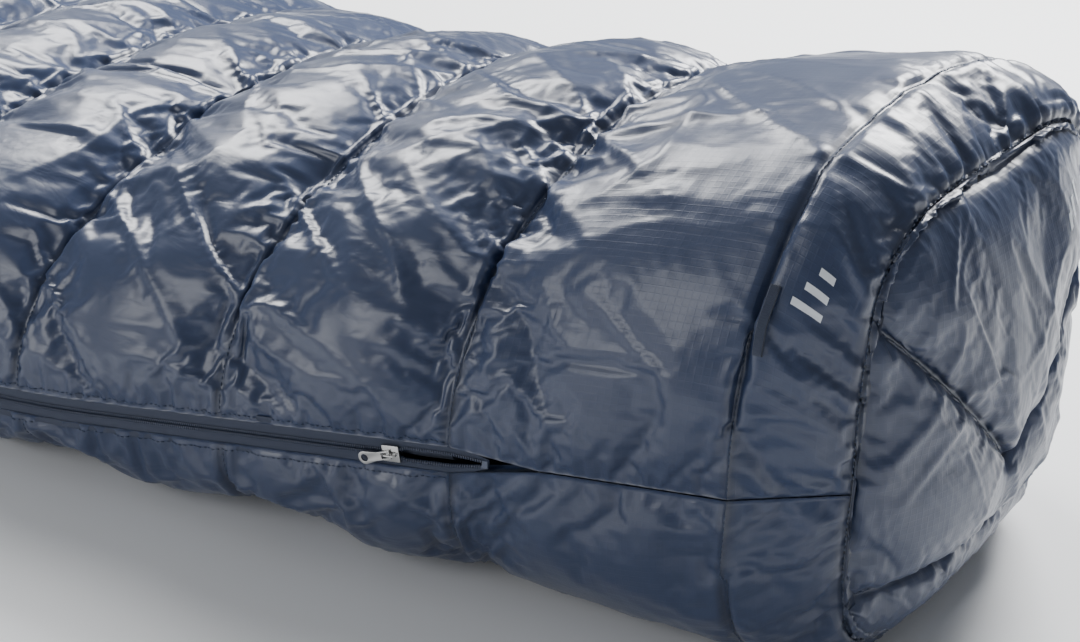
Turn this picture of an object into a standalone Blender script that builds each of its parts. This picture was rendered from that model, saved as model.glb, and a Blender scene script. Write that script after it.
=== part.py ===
"""A hoodless quilt bag with a closed foot box and a two-way zip in its near side seam.

The bag lies on its back with its foot towards +X and its zip towards -Y, and z = 0 is the floor.
Places along the bag are distances from the end seam towards the neck, called "along" here.
Shell, filling and lining are layers of one body: each layer is a surface at some depth below
the envelope, which is the surface that passes through the baffle seams.
"""

import math
from dataclasses import dataclass

import bmesh
import bpy
import numpy as np
from mathutils import Matrix, Vector

MM = 0.001

# Lengths along the bag, from the end seam towards the neck
END_BULGE = 50 * MM
PANEL_SEAM = 55 * MM
FIRST_SEAM = 231 * MM
BAFFLE_PITCH = 165 * MM
LEG_CHAMBERS = 5
CHEST_CHAMBERS = 5
KNEE_CHAMBERS = 2
HEM_WIDTH = 12 * MM

# Half widths at the side seams, heights of the top, and heights of the side seams
END_HALF_WIDTH = 138 * MM
PANEL_HALF_WIDTH = 178 * MM
KNEE_HALF_WIDTH = 276 * MM
NECK_HALF_WIDTH = 385 * MM
FOOT_WIDTH_SHARE = 0.214
END_TOP = 305 * MM
PANEL_TOP = 327 * MM
FIRST_TOP = 285 * MM
KNEE_TOP = 221 * MM
THIGH_TOP = 181 * MM
HIP_TOP = 175 * MM
NECK_TOP = 170 * MM
END_SEAM_HEIGHT = 148 * MM
PANEL_SEAM_HEIGHT = 142 * MM
ZIP_START_HEIGHT = 124.6 * MM
KNEE_SEAM_HEIGHT = 61 * MM
HIP_SEAM_HEIGHT = 50 * MM
END_LIFT = 16 * MM
FLOOR_PRESS = 4 * MM

# How square the rings are: 2 is an ellipse, more is nearer a box
END_TOP_POWER = 4.5
PANEL_TOP_POWER = 2.7
LEG_TOP_POWER = 1.95
END_BOTTOM_POWER = 3.6
NECK_BOTTOM_POWER = 2.9

# Cloth and filling
SHELL = 1.0 * MM
LINING = 1.0 * MM
CREST_FILL = 34 * MM
SEAM_FILL = 8 * MM
CREST_BULGE = 14 * MM
LAYER_GAP = 0.4 * MM
PIECE_GAP = 0.3 * MM
COLUMNS = 14
RING_STEPS = 721
SIDE_EASE = 1.6
END_DOME_POWER = 2.2
END_RIM = 0.85
END_SHARES = (1.0, 0.93, 0.8, 0.6, 0.35)
SOCK_SHARES = (0.9, 0.6, 0.3)
SHIELD_EDGE_HEIGHT = 262 * MM
SHIELD_POINT_HEIGHT = 118 * MM
LOWER_SEAM_HEIGHT = 66 * MM

# Zip
ZIP_FOOT_END = 205 * MM
ZIP_EDGE = 9 * MM
TAPE_THICKNESS = 0.6 * MM
TAPE_SETBACK = 0.8 * MM
CHAIN_WIDTH = 2.45 * MM
CHAIN_THICKNESS = 2.6 * MM
CHAIN_SPLIT = 0.15 * MM
CHAIN_OPEN = 3.0 * MM
STOP_LENGTH = 4 * MM
SLIDER_LENGTH = 12 * MM
SLIDER_HALF_HEIGHT = 5.6 * MM
SLIDER_WALL = 1.0 * MM
SLIDER_LIP = 1.2 * MM
SLIDER_CLEARANCE = 0.5 * MM
SLIDER_POST = 1.6 * MM
LOWER_SLIDER_ALONG = 270 * MM
BAIL_SPAN = 9.2 * MM
BAIL_BAR = 1.2 * MM
BAIL_OPENING = 2.4 * MM
TAB_LENGTH = 24 * MM
TAB_THICKNESS = 1.4 * MM
TAB_BAR = 0.9 * MM
TAB_WINDOW = 3.8 * MM
TAB_ARM = 1.0 * MM
TAB_RING = 9 * MM
TAB_RING_HOLE = 5 * MM
TAB_TILT = math.radians(12)
DRAFT_TUBE = 7 * MM
DRAFT_TUBE_RISE = 1.2 * MM
DRAFT_TUBE_SIDES = 8
TAPE_EDGE_GAP = 0.4 * MM

# Trim
LOOP_LENGTH = 42 * MM
LOOP_WIDTH = 6 * MM
LOOP_THICKNESS = 1.2 * MM
EYELET_RADIUS = 5 * MM
EYELET_HOLE = 2.4 * MM
EYELET_THICKNESS = 1.6 * MM
EYELET_STEPS = 20

# Sizes worked out from the ones above
CHAMBERS = LEG_CHAMBERS + CHEST_CHAMBERS
CHEST_END = FIRST_SEAM + CHAMBERS * BAFFLE_PITCH
BAG_LENGTH = CHEST_END + HEM_WIDTH
END_SEAM_X = (BAG_LENGTH - END_BULGE) / 2
KNEE = FIRST_SEAM + KNEE_CHAMBERS * BAFFLE_PITCH
HIP = FIRST_SEAM + LEG_CHAMBERS * BAFFLE_PITCH
THIGH = HIP - BAFFLE_PITCH
ZIP_LINE_START = PANEL_SEAM + (FIRST_SEAM - PANEL_SEAM) * 2 / 3
ZIP_START_HALF_WIDTH = PANEL_HALF_WIDTH + (KNEE_HALF_WIDTH - PANEL_HALF_WIDTH) * FOOT_WIDTH_SHARE
CREST_DEPTH = SHELL + CREST_FILL + LINING + 2 * LAYER_GAP - CREST_BULGE
SEAM_DEPTH = SHELL + SEAM_FILL + LINING + 2 * LAYER_GAP
UPPER_SLIDER_ALONG = CHEST_END - SLIDER_LENGTH / 2 - STOP_LENGTH - 2 * MM
CHAIN_CAVITY = CHAIN_THICKNESS / 2 + SLIDER_CLEARANCE
SLIDER_FACE = CHAIN_CAVITY + SLIDER_WALL
PULL_AXIS_OUT = SLIDER_FACE + BAIL_OPENING / 2


@dataclass(frozen=True)
class Layer:
    """One layer of the wall: the depths of its two faces at a chamber's crest and at a seam."""

    outer_crest: float
    outer_seam: float
    inner_crest: float
    inner_seam: float


SHELL_LAYER = Layer(-CREST_BULGE, 0.0, SHELL - CREST_BULGE, SHELL)
FILL_LAYER = Layer(
    SHELL + LAYER_GAP - CREST_BULGE,
    SHELL + LAYER_GAP,
    CREST_DEPTH - LINING - LAYER_GAP,
    SEAM_DEPTH - LINING - LAYER_GAP,
)
LINING_LAYER = Layer(CREST_DEPTH - LINING, SEAM_DEPTH - LINING, CREST_DEPTH, SEAM_DEPTH)
HEM_LAYER = Layer(0.0, 0.0, SEAM_DEPTH, SEAM_DEPTH)


def clear_scene():
    """Removes every object that the scene starts with."""
    for item in list(bpy.data.objects):
        bpy.data.objects.remove(item, do_unlink=True)


def make_material(name, color, roughness, metallic=0.0):
    """Returns a Principled material of one colour and finish."""
    material = bpy.data.materials.new(name)
    material.use_nodes = True
    shader = material.node_tree.nodes["Principled BSDF"]
    shader.inputs["Base Color"].default_value = (*color, 1.0)
    shader.inputs["Roughness"].default_value = roughness
    shader.inputs["Metallic"].default_value = metallic
    return material


def add_object(name, mesh, material):
    """Links a mesh into the scene as one named object with a material of its own."""
    item = bpy.data.objects.new(name, mesh)
    own = material.copy()
    own.name = name + "_finish"
    mesh.materials.append(own)
    bpy.context.scene.collection.objects.link(item)
    return item


def mesh_from(name, vertices, faces):
    """Builds a closed mesh and turns its faces outwards."""
    mesh = bpy.data.meshes.new(name)
    mesh.from_pydata([tuple(v) for v in vertices], [], faces)
    shape = bmesh.new()
    shape.from_mesh(mesh)
    bmesh.ops.recalc_face_normals(shape, faces=shape.faces)
    shape.to_mesh(mesh)
    shape.free()
    return mesh


def place_x(along):
    """The x of a place along the bag."""
    return END_SEAM_X - along


def between(along, *knots):
    """The value at a place, on straight lines between (place, value) knots."""
    places, values = zip(*knots)
    return float(np.interp(along, places, values))


def half_width(along):
    """Half the bag's width at its side seams."""
    return between(
        along,
        (0.0, END_HALF_WIDTH),
        (PANEL_SEAM, PANEL_HALF_WIDTH),
        (ZIP_LINE_START, ZIP_START_HALF_WIDTH),
        (KNEE, KNEE_HALF_WIDTH),
        (HIP, NECK_HALF_WIDTH),
    )


def seam_height(along):
    """The height of the side seams over the floor."""
    return between(
        along,
        (0.0, END_SEAM_HEIGHT),
        (PANEL_SEAM, PANEL_SEAM_HEIGHT),
        (ZIP_LINE_START, ZIP_START_HEIGHT),
        (KNEE, KNEE_SEAM_HEIGHT),
        (HIP, HIP_SEAM_HEIGHT),
    )


def top_height(along):
    """The height of the envelope over the bag's middle line."""
    return between(
        along,
        (0.0, END_TOP),
        (PANEL_SEAM, PANEL_TOP),
        (FIRST_SEAM, FIRST_TOP),
        (KNEE, KNEE_TOP),
        (THIGH, THIGH_TOP),
        (HIP, HIP_TOP),
        (CHEST_END, NECK_TOP),
    )


def top_power(along):
    """How square the upper half ring is: 2 is an ellipse, more is nearer a box."""
    knots = ((0.0, END_TOP_POWER), (PANEL_SEAM, PANEL_TOP_POWER), (FIRST_SEAM, LEG_TOP_POWER))
    return between(along, *knots)


def bottom_power(along):
    """How square the lower half ring is."""
    return between(along, (0.0, END_BOTTOM_POWER), (CHEST_END, NECK_BOTTOM_POWER))


def bottom_height(along):
    """The height of the envelope under the bag's middle line."""
    return between(along, (0.0, END_LIFT), (PANEL_SEAM, CREST_BULGE))


def zip_edge(along):
    """How far the cloth's near edges stay above and below the side seam's line."""
    return between(along, (ZIP_LINE_START, PIECE_GAP / 2), (FIRST_SEAM, ZIP_EDGE))


def half_ring_angles(width, rise, power):
    """Angles that part a half ring into equal lengths, from the near side to the far side."""
    fine = np.linspace(0.0, math.pi, RING_STEPS)
    across = width * np.sign(np.cos(fine)) * np.abs(np.cos(fine)) ** (2 / power)
    up = rise * np.sin(fine).clip(0.0) ** (2 / power)
    steps = np.hypot(np.diff(across), np.diff(up))
    lengths = np.concatenate([[0.0], np.cumsum(steps)])
    return np.interp(np.linspace(0.0, lengths[-1], COLUMNS + 1), lengths, fine)


def side_ease():
    """For each column, how much of the chambers' swell is left there: none at the side seams."""
    return np.minimum(1.0, SIDE_EASE * np.sin(np.linspace(0.0, math.pi, COLUMNS + 1)).clip(0.0))


def half_ring(along, upper, crest_depth, seam_depth, swell):
    """Points of one half ring of a layer, from the near side seam to the far one.

    swell is 1 at a chamber's crest and 0 at a seam.
    """
    ease = side_ease() * swell
    depth = seam_depth + (crest_depth - seam_depth) * ease
    width = half_width(along)
    height = seam_height(along)
    limit = top_height(along) if upper else bottom_height(along)
    power = top_power(along) if upper else bottom_power(along)
    angles = half_ring_angles(width, abs(limit - height), power)
    across = np.sign(np.cos(angles)) * np.abs(np.cos(angles)) ** (2 / power)
    rise = np.sin(angles).clip(0.0) ** (2 / power)
    edge = zip_edge(along) * (1 + across) / 2 + PIECE_GAP / 2 * (1 - across) / 2
    y = -(width - depth) * across
    if upper:
        base = height + edge
        z = base + (limit - depth - base) * rise
    else:
        base = height - edge
        lowest = limit + depth
        z = np.maximum(lowest, base - (base - lowest + FLOOR_PRESS) * rise)
    return np.column_stack([np.full(COLUMNS + 1, place_x(along)), y, z])


def stations_of(start, chambers, length, gap):
    """(place, swell) of the rings of some chambers in a row, from the foot towards the neck."""
    pitch = length / chambers
    stations = []
    for index in range(chambers):
        seam = start + index * pitch
        stations += [(seam, 0.0), (seam + pitch / 3, 1.0), (seam + pitch * 2 / 3, 1.0)]
    stations.append((start + length, 0.0))
    stations[0] = (start + gap, 0.0)
    stations[-1] = (start + length - gap, 0.0)
    return stations


def grid_faces(rows, columns, offset, wrap=False, turned=0):
    """Triangles over a grid of points, split along one diagonal, or the other in turned columns."""
    faces = []
    for row in range(rows - 1):
        for column in range(columns if wrap else columns - 1):
            a = offset + row * columns + column
            b = offset + row * columns + (column + 1) % columns
            if column < turned:
                faces += [(a, b, a + columns), (b, b + columns, a + columns)]
            else:
                faces += [(a, b, b + columns), (a, b + columns, a + columns)]
    return faces


def rim_faces(loop, shift):
    """Quads from a loop of points on one face to the points shift further on the other."""
    faces = []
    for index, a in enumerate(loop):
        b = loop[(index + 1) % len(loop)]
        faces.append((a, b, b + shift, a + shift))
    return faces


def between_faces(name, outer, inner, material):
    """A closed solid between two grids of points that match row by row."""
    outer = np.asarray(outer)
    rows, columns = outer.shape[:2]
    count = rows * columns
    vertices = np.concatenate([outer.reshape(-1, 3), np.asarray(inner).reshape(-1, 3)])
    faces = grid_faces(rows, columns, 0) + grid_faces(rows, columns, count)
    loop = list(range(columns))
    loop += [row * columns + columns - 1 for row in range(1, rows)]
    loop += [count - 2 - index for index in range(columns - 1)]
    loop += [row * columns for row in range(rows - 2, 0, -1)]
    faces += rim_faces(loop, count)
    return add_object(name, mesh_from(name, vertices, faces), material)


def layer_solid(name, upper, stations, layer, material):
    """A layer over or under the bag, through (place, swell) stations."""
    outer = [half_ring(a, upper, layer.outer_crest, layer.outer_seam, w) for a, w in stations]
    inner = [half_ring(a, upper, layer.inner_crest, layer.inner_seam, w) for a, w in stations]
    return between_faces(name, outer, inner, material)


def build_foot(cloth, filling):
    """The toe and foot panels: shell and filling, above and below."""
    pieces = (("toe", 0.0, PANEL_SEAM), ("foot", PANEL_SEAM, FIRST_SEAM - PANEL_SEAM))
    for name, start, length in pieces:
        for half, upper in (("top", True), ("bottom", False)):
            stations = stations_of(start, 1, length, PIECE_GAP / 2)
            layer_solid(f"{name}_{half}_shell", upper, stations, SHELL_LAYER, cloth)
            layer_solid(f"{name}_{half}_fill", upper, stations, FILL_LAYER, filling)


def build_tops(cloth, filling, lining):
    """The upper half of the legs, which stays closed, and of the chest, which opens."""
    parts = (("leg_top", FIRST_SEAM, LEG_CHAMBERS), ("chest_top", HIP, CHEST_CHAMBERS))
    for name, start, chambers in parts:
        length = chambers * BAFFLE_PITCH
        stations = stations_of(start, chambers, length, PIECE_GAP / 2)
        layer_solid(f"{name}_shell", True, stations, SHELL_LAYER, cloth)
        layer_solid(f"{name}_lining", True, stations, LINING_LAYER, lining)
        for index in range(chambers):
            seam = start + index * BAFFLE_PITCH
            chamber = stations_of(seam, 1, BAFFLE_PITCH, PIECE_GAP / 2)
            layer_solid(f"{name}_fill_{index + 1}", True, chamber, FILL_LAYER, filling)


def build_bottom(cloth, filling, lining):
    """The lower half from the first seam to the neck."""
    length = CHAMBERS * BAFFLE_PITCH
    stations = stations_of(FIRST_SEAM, CHAMBERS, length, PIECE_GAP / 2)
    layer_solid("bottom_shell", False, stations, SHELL_LAYER, cloth)
    layer_solid("bottom_lining", False, stations, LINING_LAYER, lining)
    for index in range(CHAMBERS):
        seam = FIRST_SEAM + index * BAFFLE_PITCH
        chamber = stations_of(seam, 1, BAFFLE_PITCH, PIECE_GAP / 2)
        layer_solid(f"bottom_fill_{index + 1}", False, chamber, FILL_LAYER, filling)


def full_ring(along, depth_crest, depth_seam, swell):
    """A whole ring of a layer: over the top from near to far, then back underneath."""
    top = half_ring(along, True, depth_crest, depth_seam, swell)
    bottom = half_ring(along, False, depth_crest, depth_seam, swell)
    top[[0, -1], 2] = seam_height(along)
    return np.concatenate([top, bottom[::-1][1:-1]])


def end_height():
    """The height of the end panel's middle."""
    return (END_TOP + END_LIFT) / 2


def end_ring(share, x):
    """A ring of the end panel: the end seam's ring drawn in to a share of its size, at x."""
    ring = full_ring(0.0, 0.0, 0.0, 0.0)
    ring[:, 1] *= share
    ring[:, 2] = end_height() + (ring[:, 2] - end_height()) * share
    ring[:, 0] = x
    return ring


def end_inside(share):
    """How far the end filling's inner face lies from the end seam's plane, inwards."""
    swell = max(0.0, 1.0 - (share / END_RIM) ** 2)
    return CREST_DEPTH * swell - LAYER_GAP


def end_outside(share):
    """How far the end shell's outer face lies past the end seam's plane."""
    room = END_BULGE - SHELL - 2 * LAYER_GAP
    return SHELL + 2 * LAYER_GAP + room * (1.0 - share**END_DOME_POWER)


def close_cap(faces, first, columns, middle):
    """Adds the fan of triangles that closes a ring on its middle point."""
    for column in range(columns):
        faces.append((first + column, first + (column + 1) % columns, middle))


def between_domes(name, outer, inner, material):
    """A closed solid between two stacks of whole rings, each stack closed on its last point."""
    columns = len(outer[0])
    rows = len(outer) - 1
    vertices = [*outer[:-1], outer[-1], *inner[:-1], inner[-1]]
    vertices = np.concatenate([np.atleast_2d(v) for v in vertices])
    count = rows * columns + 1
    faces = []
    for offset in (0, count):
        faces += grid_faces(rows, columns, offset, wrap=True, turned=COLUMNS)
        close_cap(faces, offset + (rows - 1) * columns, columns, offset + rows * columns)
    faces += rim_faces(list(range(columns)), count)
    return add_object(name, mesh_from(name, vertices, faces), material)


def dome(face, shares, scale=1.0):
    """Rings and a middle point of a dome whose place past the end seam is a function of share."""
    rings = [end_ring(share * scale, END_SEAM_X + face(share)) for share in shares]
    middle = np.array([END_SEAM_X + face(0.0), 0.0, end_height()])
    return [*rings, middle]


def hide_helper(item):
    """Makes an object a cutter or a form: drawn as wire and left out of the render."""
    item.hide_render = True
    item.display_type = "WIRE"


def boolean(item, other, operation):
    """Cuts one object by another, or joins it on, with an exact Boolean."""
    hide_helper(other)
    modifier = item.modifiers.new(operation.lower(), "BOOLEAN")
    modifier.operation = operation
    modifier.object = other
    modifier.solver = "EXACT"


def outline_solid(name, outline, axes, start, end, material):
    """A flat outline drawn out along an axis. axes is (first, second, drawn) unit vectors."""
    first, second, drawn = (np.array(axis) for axis in axes)
    flat = [first * a + second * b for a, b in outline]
    vertices = [p + drawn * start for p in flat] + [p + drawn * end for p in flat]
    count = len(flat)
    faces = [tuple(range(count)), tuple(range(count, 2 * count))]
    faces += rim_faces(list(range(count)), count)
    return add_object(name, mesh_from(name, vertices, faces), material)


def section_outlines():
    """Outlines, in y and z, of the three sections of the end panel."""
    wide = END_HALF_WIDTH + END_BULGE
    high = END_TOP + END_BULGE
    gap = PIECE_GAP / 2
    sag = SHIELD_POINT_HEIGHT
    edge = sag + (SHIELD_EDGE_HEIGHT - sag) * wide / END_HALF_WIDTH
    low = LOWER_SEAM_HEIGHT
    upper = [(-wide, edge + gap), (0.0, sag + gap * 2), (wide, edge + gap), (wide, high)]
    upper.append((-wide, high))
    middle = [(-wide, low + gap), (wide, low + gap), (wide, edge - gap)]
    middle += [(0.0, sag - gap * 2), (-wide, edge - gap)]
    lower = [(-wide, -END_BULGE), (wide, -END_BULGE), (wide, low - gap), (-wide, low - gap)]
    return {"upper": upper, "middle": middle, "lower": lower}


def build_end(cloth, filling):
    """The end panel: one domed filling and a shell in three sewn sections over it."""
    axes = ((0, 1, 0), (0, 0, 1), (1, 0, 0))
    for part, outline in section_outlines().items():
        outer = dome(end_outside, END_SHARES)
        inner = dome(lambda share: end_outside(share) - SHELL, END_SHARES)
        piece = between_domes(f"end_shell_{part}", outer, inner, cloth)
        form = outline_solid(
            f"form_end_{part}",
            outline,
            axes,
            END_SEAM_X - END_BULGE,
            END_SEAM_X + 2 * END_BULGE,
            cloth,
        )
        boolean(piece, form, "INTERSECT")
    fill_outer = dome(lambda share: end_outside(share) - SHELL - LAYER_GAP, END_SHARES)
    fill_inner = dome(lambda share: -end_inside(share), END_SHARES)
    between_domes("end_fill", fill_outer, fill_inner, filling)


def build_foot_lining(lining):
    """The sock that lines the foot box, open towards the legs."""
    layer = LINING_LAYER
    walls = stations_of(PANEL_SEAM, 1, FIRST_SEAM - PANEL_SEAM, PIECE_GAP / 2)[::-1]
    toe = ((PANEL_SEAM * 2 / 3, 1.0), (PANEL_SEAM / 3, 1.0))
    walls = [*walls[:-1], (PANEL_SEAM, 0.0), *toe]
    shares = [END_RIM * share for share in SOCK_SHARES]
    outer = [full_ring(a, layer.outer_crest, layer.outer_seam, w) for a, w in walls]
    inner = [full_ring(a, layer.inner_crest, layer.inner_seam, w) for a, w in walls]
    outer += dome(lambda share: -end_inside(share) - 2 * LAYER_GAP, shares)
    inner += dome(lambda share: -end_inside(share) - 2 * LAYER_GAP - LINING, shares)
    between_domes("foot_lining", outer, inner, lining)


def zip_point(along):
    """A point of the zip's middle line, in the plane of its tapes."""
    return Vector((place_x(along), TAPE_SETBACK - half_width(along), seam_height(along)))


def zip_frame(along, reach=1 * MM):
    """(towards neck, outwards, up) directions of the zip at a place on it."""
    run = (zip_point(along + reach) - zip_point(along - reach)).normalized()
    out = run.cross(Vector((0, 0, 1))).normalized()
    if out.y > 0:
        out.negate()
    return run, out, Vector((0, 0, 1))


def chain_opening(along):
    """Half the gap between the two rows of coil: closed between the sliders, open past the lower."""
    half = SLIDER_LENGTH / 2
    return between(
        along,
        (ZIP_FOOT_END, CHAIN_SPLIT),
        (FIRST_SEAM, CHAIN_OPEN),
        (LOWER_SLIDER_ALONG - half - 2 * SLIDER_POST, CHAIN_OPEN),
        (LOWER_SLIDER_ALONG - half + SLIDER_POST, SLIDER_POST / 2 + PIECE_GAP),
        (LOWER_SLIDER_ALONG, CHAIN_SPLIT),
        (UPPER_SLIDER_ALONG, CHAIN_SPLIT),
        (UPPER_SLIDER_ALONG + half - SLIDER_POST, SLIDER_POST / 2 + PIECE_GAP),
        (CHEST_END, CHAIN_OPEN / 2),
    )


def chain_back(along):
    """How far the back of a row of coil lies from the zip's line."""
    return chain_opening(along) + CHAIN_WIDTH


def tape_front(along):
    """How far the tape's inner edge lies from the zip's line."""
    return chain_back(along) + PIECE_GAP


def tape_back(along):
    """How far the tape's outer edge lies from the zip's line."""
    return zip_edge(along) - TAPE_EDGE_GAP


def zip_strip(name, places, low, high, thickness, side, material):
    """A strip along the zip between two heights over its line, each a function of place."""
    outer, inner = [], []
    for along in places:
        point = zip_point(along)
        _, out, up = zip_frame(along)
        edges = [point + up * (side * height(along)) for height in (low, high)]
        outer.append([tuple(p + out * (thickness / 2)) for p in edges])
        inner.append([tuple(p - out * (thickness / 2)) for p in edges])
    return between_faces(name, outer, inner, material)


def zip_places(start, end):
    """Places for a strip's rings: its ends and every bend of the line or the opening between."""
    half = SLIDER_LENGTH / 2
    bends = [FIRST_SEAM, KNEE, HIP, LOWER_SLIDER_ALONG]
    bends += [LOWER_SLIDER_ALONG - half - 2 * SLIDER_POST, LOWER_SLIDER_ALONG - half + SLIDER_POST]
    bends += [UPPER_SLIDER_ALONG, UPPER_SLIDER_ALONG + half - SLIDER_POST]
    inside = sorted(place for place in bends if start + 1 * MM < place < end - 1 * MM)
    return [start, *inside, end]


def build_zip_strips(tape, coil):
    """Tapes and rows of coil, below the zip's line and above it."""
    gap = PIECE_GAP / 2
    runs = (
        ("zip_{}_lower", -1, ZIP_FOOT_END, CHEST_END - gap),
        ("zip_{}_upper_leg", 1, ZIP_FOOT_END, HIP - gap),
        ("zip_{}_upper_chest", 1, HIP + gap, CHEST_END - gap),
    )
    for name, side, start, end in runs:
        places = zip_places(start, end)
        strip = name.format("tape")
        zip_strip(strip, places, tape_front, tape_back, TAPE_THICKNESS, side, tape)
        chain_start = start + STOP_LENGTH if start == ZIP_FOOT_END else start
        chain_end = end if end < HIP else end - STOP_LENGTH
        places = zip_places(chain_start, chain_end)
        strip = name.format("chain")
        zip_strip(strip, places, chain_opening, chain_back, CHAIN_THICKNESS, side, coil)


def build_stops(metal):
    """The stop that joins both rows at the foot end, and one stop on each row at the neck."""
    foot = (ZIP_FOOT_END, ZIP_FOOT_END + STOP_LENGTH - PIECE_GAP)
    reach = CHAIN_SPLIT + CHAIN_WIDTH
    heights = (lambda a: -reach, lambda a: reach)
    zip_strip("zip_foot_stop", foot, *heights, CHAIN_THICKNESS, 1, metal)
    start = CHEST_END - PIECE_GAP / 2 - STOP_LENGTH + PIECE_GAP
    neck = (start, start + STOP_LENGTH - PIECE_GAP)
    for name, side in (("zip_neck_stop_lower", -1), ("zip_neck_stop_upper", 1)):
        zip_strip(name, neck, chain_opening, chain_back, CHAIN_THICKNESS, side, metal)


def tube_solid(name, places, radius, material):
    """The draft tube: a round tube on the inside of the zip."""
    set_in = TAPE_SETBACK + SLIDER_FACE + SLIDER_CLEARANCE + radius
    rings = []
    for along in places:
        middle = Vector((place_x(along), set_in - half_width(along), seam_height(along)))
        middle.z += DRAFT_TUBE_RISE
        for step in range(DRAFT_TUBE_SIDES):
            angle = 2 * math.pi * (step + 0.5) / DRAFT_TUBE_SIDES
            turn = Vector((0, math.cos(angle), math.sin(angle)))
            rings.append(middle + turn * radius)
    rows, sides = len(places), DRAFT_TUBE_SIDES
    faces = grid_faces(rows, sides, 0, wrap=True)
    faces += [tuple(range(sides)), tuple(range((rows - 1) * sides, rows * sides))]
    item = add_object(name, mesh_from(name, rings, faces), material)
    item.data.shade_smooth()
    item.data.set_sharp_from_angle(angle=math.radians(50))
    return item


def build_draft_tubes(lining):
    """The draft tube along the legs, and the one that opens with the chest."""
    gap = PIECE_GAP / 2
    foot = FIRST_SEAM + PIECE_GAP
    tube_solid("draft_tube_leg", [foot, KNEE, HIP - gap], DRAFT_TUBE, lining)
    tube_solid("draft_tube_chest", [HIP + gap, CHEST_END - gap], DRAFT_TUBE, lining)


def local_frame(along):
    """A matrix at a place on the zip: x towards the neck, y outwards, z up."""
    run, out, _ = zip_frame(along)
    matrix = Matrix((run, out, run.cross(out))).transposed().to_4x4()
    matrix.translation = zip_point(along)
    return matrix


def half_slider_outline(side):
    """Outline, in z and y, of a slider's plate with its two lips."""
    high, cavity = SLIDER_HALF_HEIGHT, SLIDER_HALF_HEIGHT - SLIDER_LIP
    slot = TAPE_THICKNESS / 2 + SLIDER_CLEARANCE
    face, inside = SLIDER_FACE, CHAIN_CAVITY
    points = [(-high, slot), (-high, face), (high, face), (high, slot), (cavity, slot)]
    points += [(cavity, inside), (-cavity, inside), (-cavity, slot)]
    return [(z, y * side) for z, y in points]


def bail_outline():
    """Outline, in x and y, of the arch over the slider's face that holds the pull tab."""
    half, bar = BAIL_SPAN / 2, BAIL_BAR
    root, under = SLIDER_FACE - bar / 2, SLIDER_FACE + BAIL_OPENING
    over = under + bar
    slant = bar
    outline = [(-half, root), (-half, under), (-half + slant, over), (half - slant, over)]
    outline += [(half, under), (half, root), (half - bar, root), (half - bar, under)]
    outline += [(-half + bar, under), (-half + bar, root)]
    return outline


def build_slider(name, along, post_side, metal):
    """A slider: two lipped plates over the coil, the post between them and the bail outside.

    post_side is 1 where the rows part towards the neck, and -1 towards the foot.
    """
    half = SLIDER_LENGTH / 2
    plate_axes = ((0, 0, 1), (0, 1, 0), (1, 0, 0))
    body = outline_solid(name, half_slider_outline(1), plate_axes, -half, half, metal)
    back = half_slider_outline(-1)
    back = outline_solid(f"form_{name}_back", back, plate_axes, -half, half, metal)
    ends = sorted((post_side * half, post_side * (half - SLIDER_POST)))
    reach = CHAIN_CAVITY + SLIDER_WALL / 2
    post_half = SLIDER_POST / 2
    block = [(-post_half, -reach), (post_half, -reach), (post_half, reach), (-post_half, reach)]
    post = outline_solid(f"form_{name}_post", block, plate_axes, *ends, metal)
    bail_axes = ((1, 0, 0), (0, 1, 0), (0, 0, 1))
    width = BAIL_BAR / 2
    bail = outline_solid(f"form_{name}_bail", bail_outline(), bail_axes, -width, width, metal)
    for item in (body, back, post, bail):
        item.matrix_world = local_frame(along)
    for other in (post, back, bail):
        boolean(body, other, "UNION")
    return body


def tab_outline():
    """Outline, in x and z, of the pull tab: square at the bail, round at its ring."""
    half = TAB_WINDOW / 2 + TAB_ARM
    middle = TAB_LENGTH - TAB_BAR / 2 - TAB_RING / 2
    start = -TAB_BAR / 2
    neck = middle - TAB_RING / 2
    points = [(start, half), (start, -half), (neck - TAB_RING / 2, -half)]
    for step in range(17):
        angle = math.radians(-110 + 220 * step / 16)
        points.append((middle + TAB_RING / 2 * math.cos(angle), TAB_RING / 2 * math.sin(angle)))
    points.append((neck - TAB_RING / 2, half))
    return points


def build_pull_tab(name, along, towards, spin, metal):
    """A pull tab that turns on its own bar, held under the slider's bail.

    towards is 1 where it lies towards the neck and -1 towards the foot.
    """
    axes = ((towards, 0, 0), (0, 0, 1), (0, 1, 0))
    half = TAB_THICKNESS / 2
    tab = outline_solid(name, tab_outline(), axes, -half, half, metal)
    window_end = TAB_BAR / 2 + BAIL_SPAN / 2 + BAIL_BAR
    slot = TAB_WINDOW / 2
    window = [(TAB_BAR / 2, -slot), (TAB_BAR / 2, slot), (window_end, slot), (window_end, -slot)]
    window = outline_solid(f"form_{name}_window", window, axes, -2 * half, 2 * half, metal)
    middle = TAB_LENGTH - TAB_BAR / 2 - TAB_RING / 2
    ring = []
    for step in range(16):
        angle = 2 * math.pi * (step + 0.5) / 16
        radius = TAB_RING_HOLE / 2
        ring.append((middle + radius * math.cos(angle), radius * math.sin(angle)))
    ring = outline_solid(f"form_{name}_ring", ring, axes, -2 * half, 2 * half, metal)
    place = local_frame(along) @ Matrix.Translation((0, PULL_AXIS_OUT, 0))
    for item in (tab, window, ring):
        item.matrix_world = place @ Matrix.Rotation(spin, 4, "Y")
    boolean(tab, window, "DIFFERENCE")
    boolean(tab, ring, "DIFFERENCE")
    return tab


def build_hems(binding):
    """The bound neck edge, above and below."""
    stations = [(CHEST_END + PIECE_GAP / 2, 0.0), (BAG_LENGTH, 0.0)]
    layer_solid("neck_hem_top", True, stations, HEM_LAYER, binding)
    layer_solid("neck_hem_bottom", False, stations, HEM_LAYER, binding)


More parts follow.
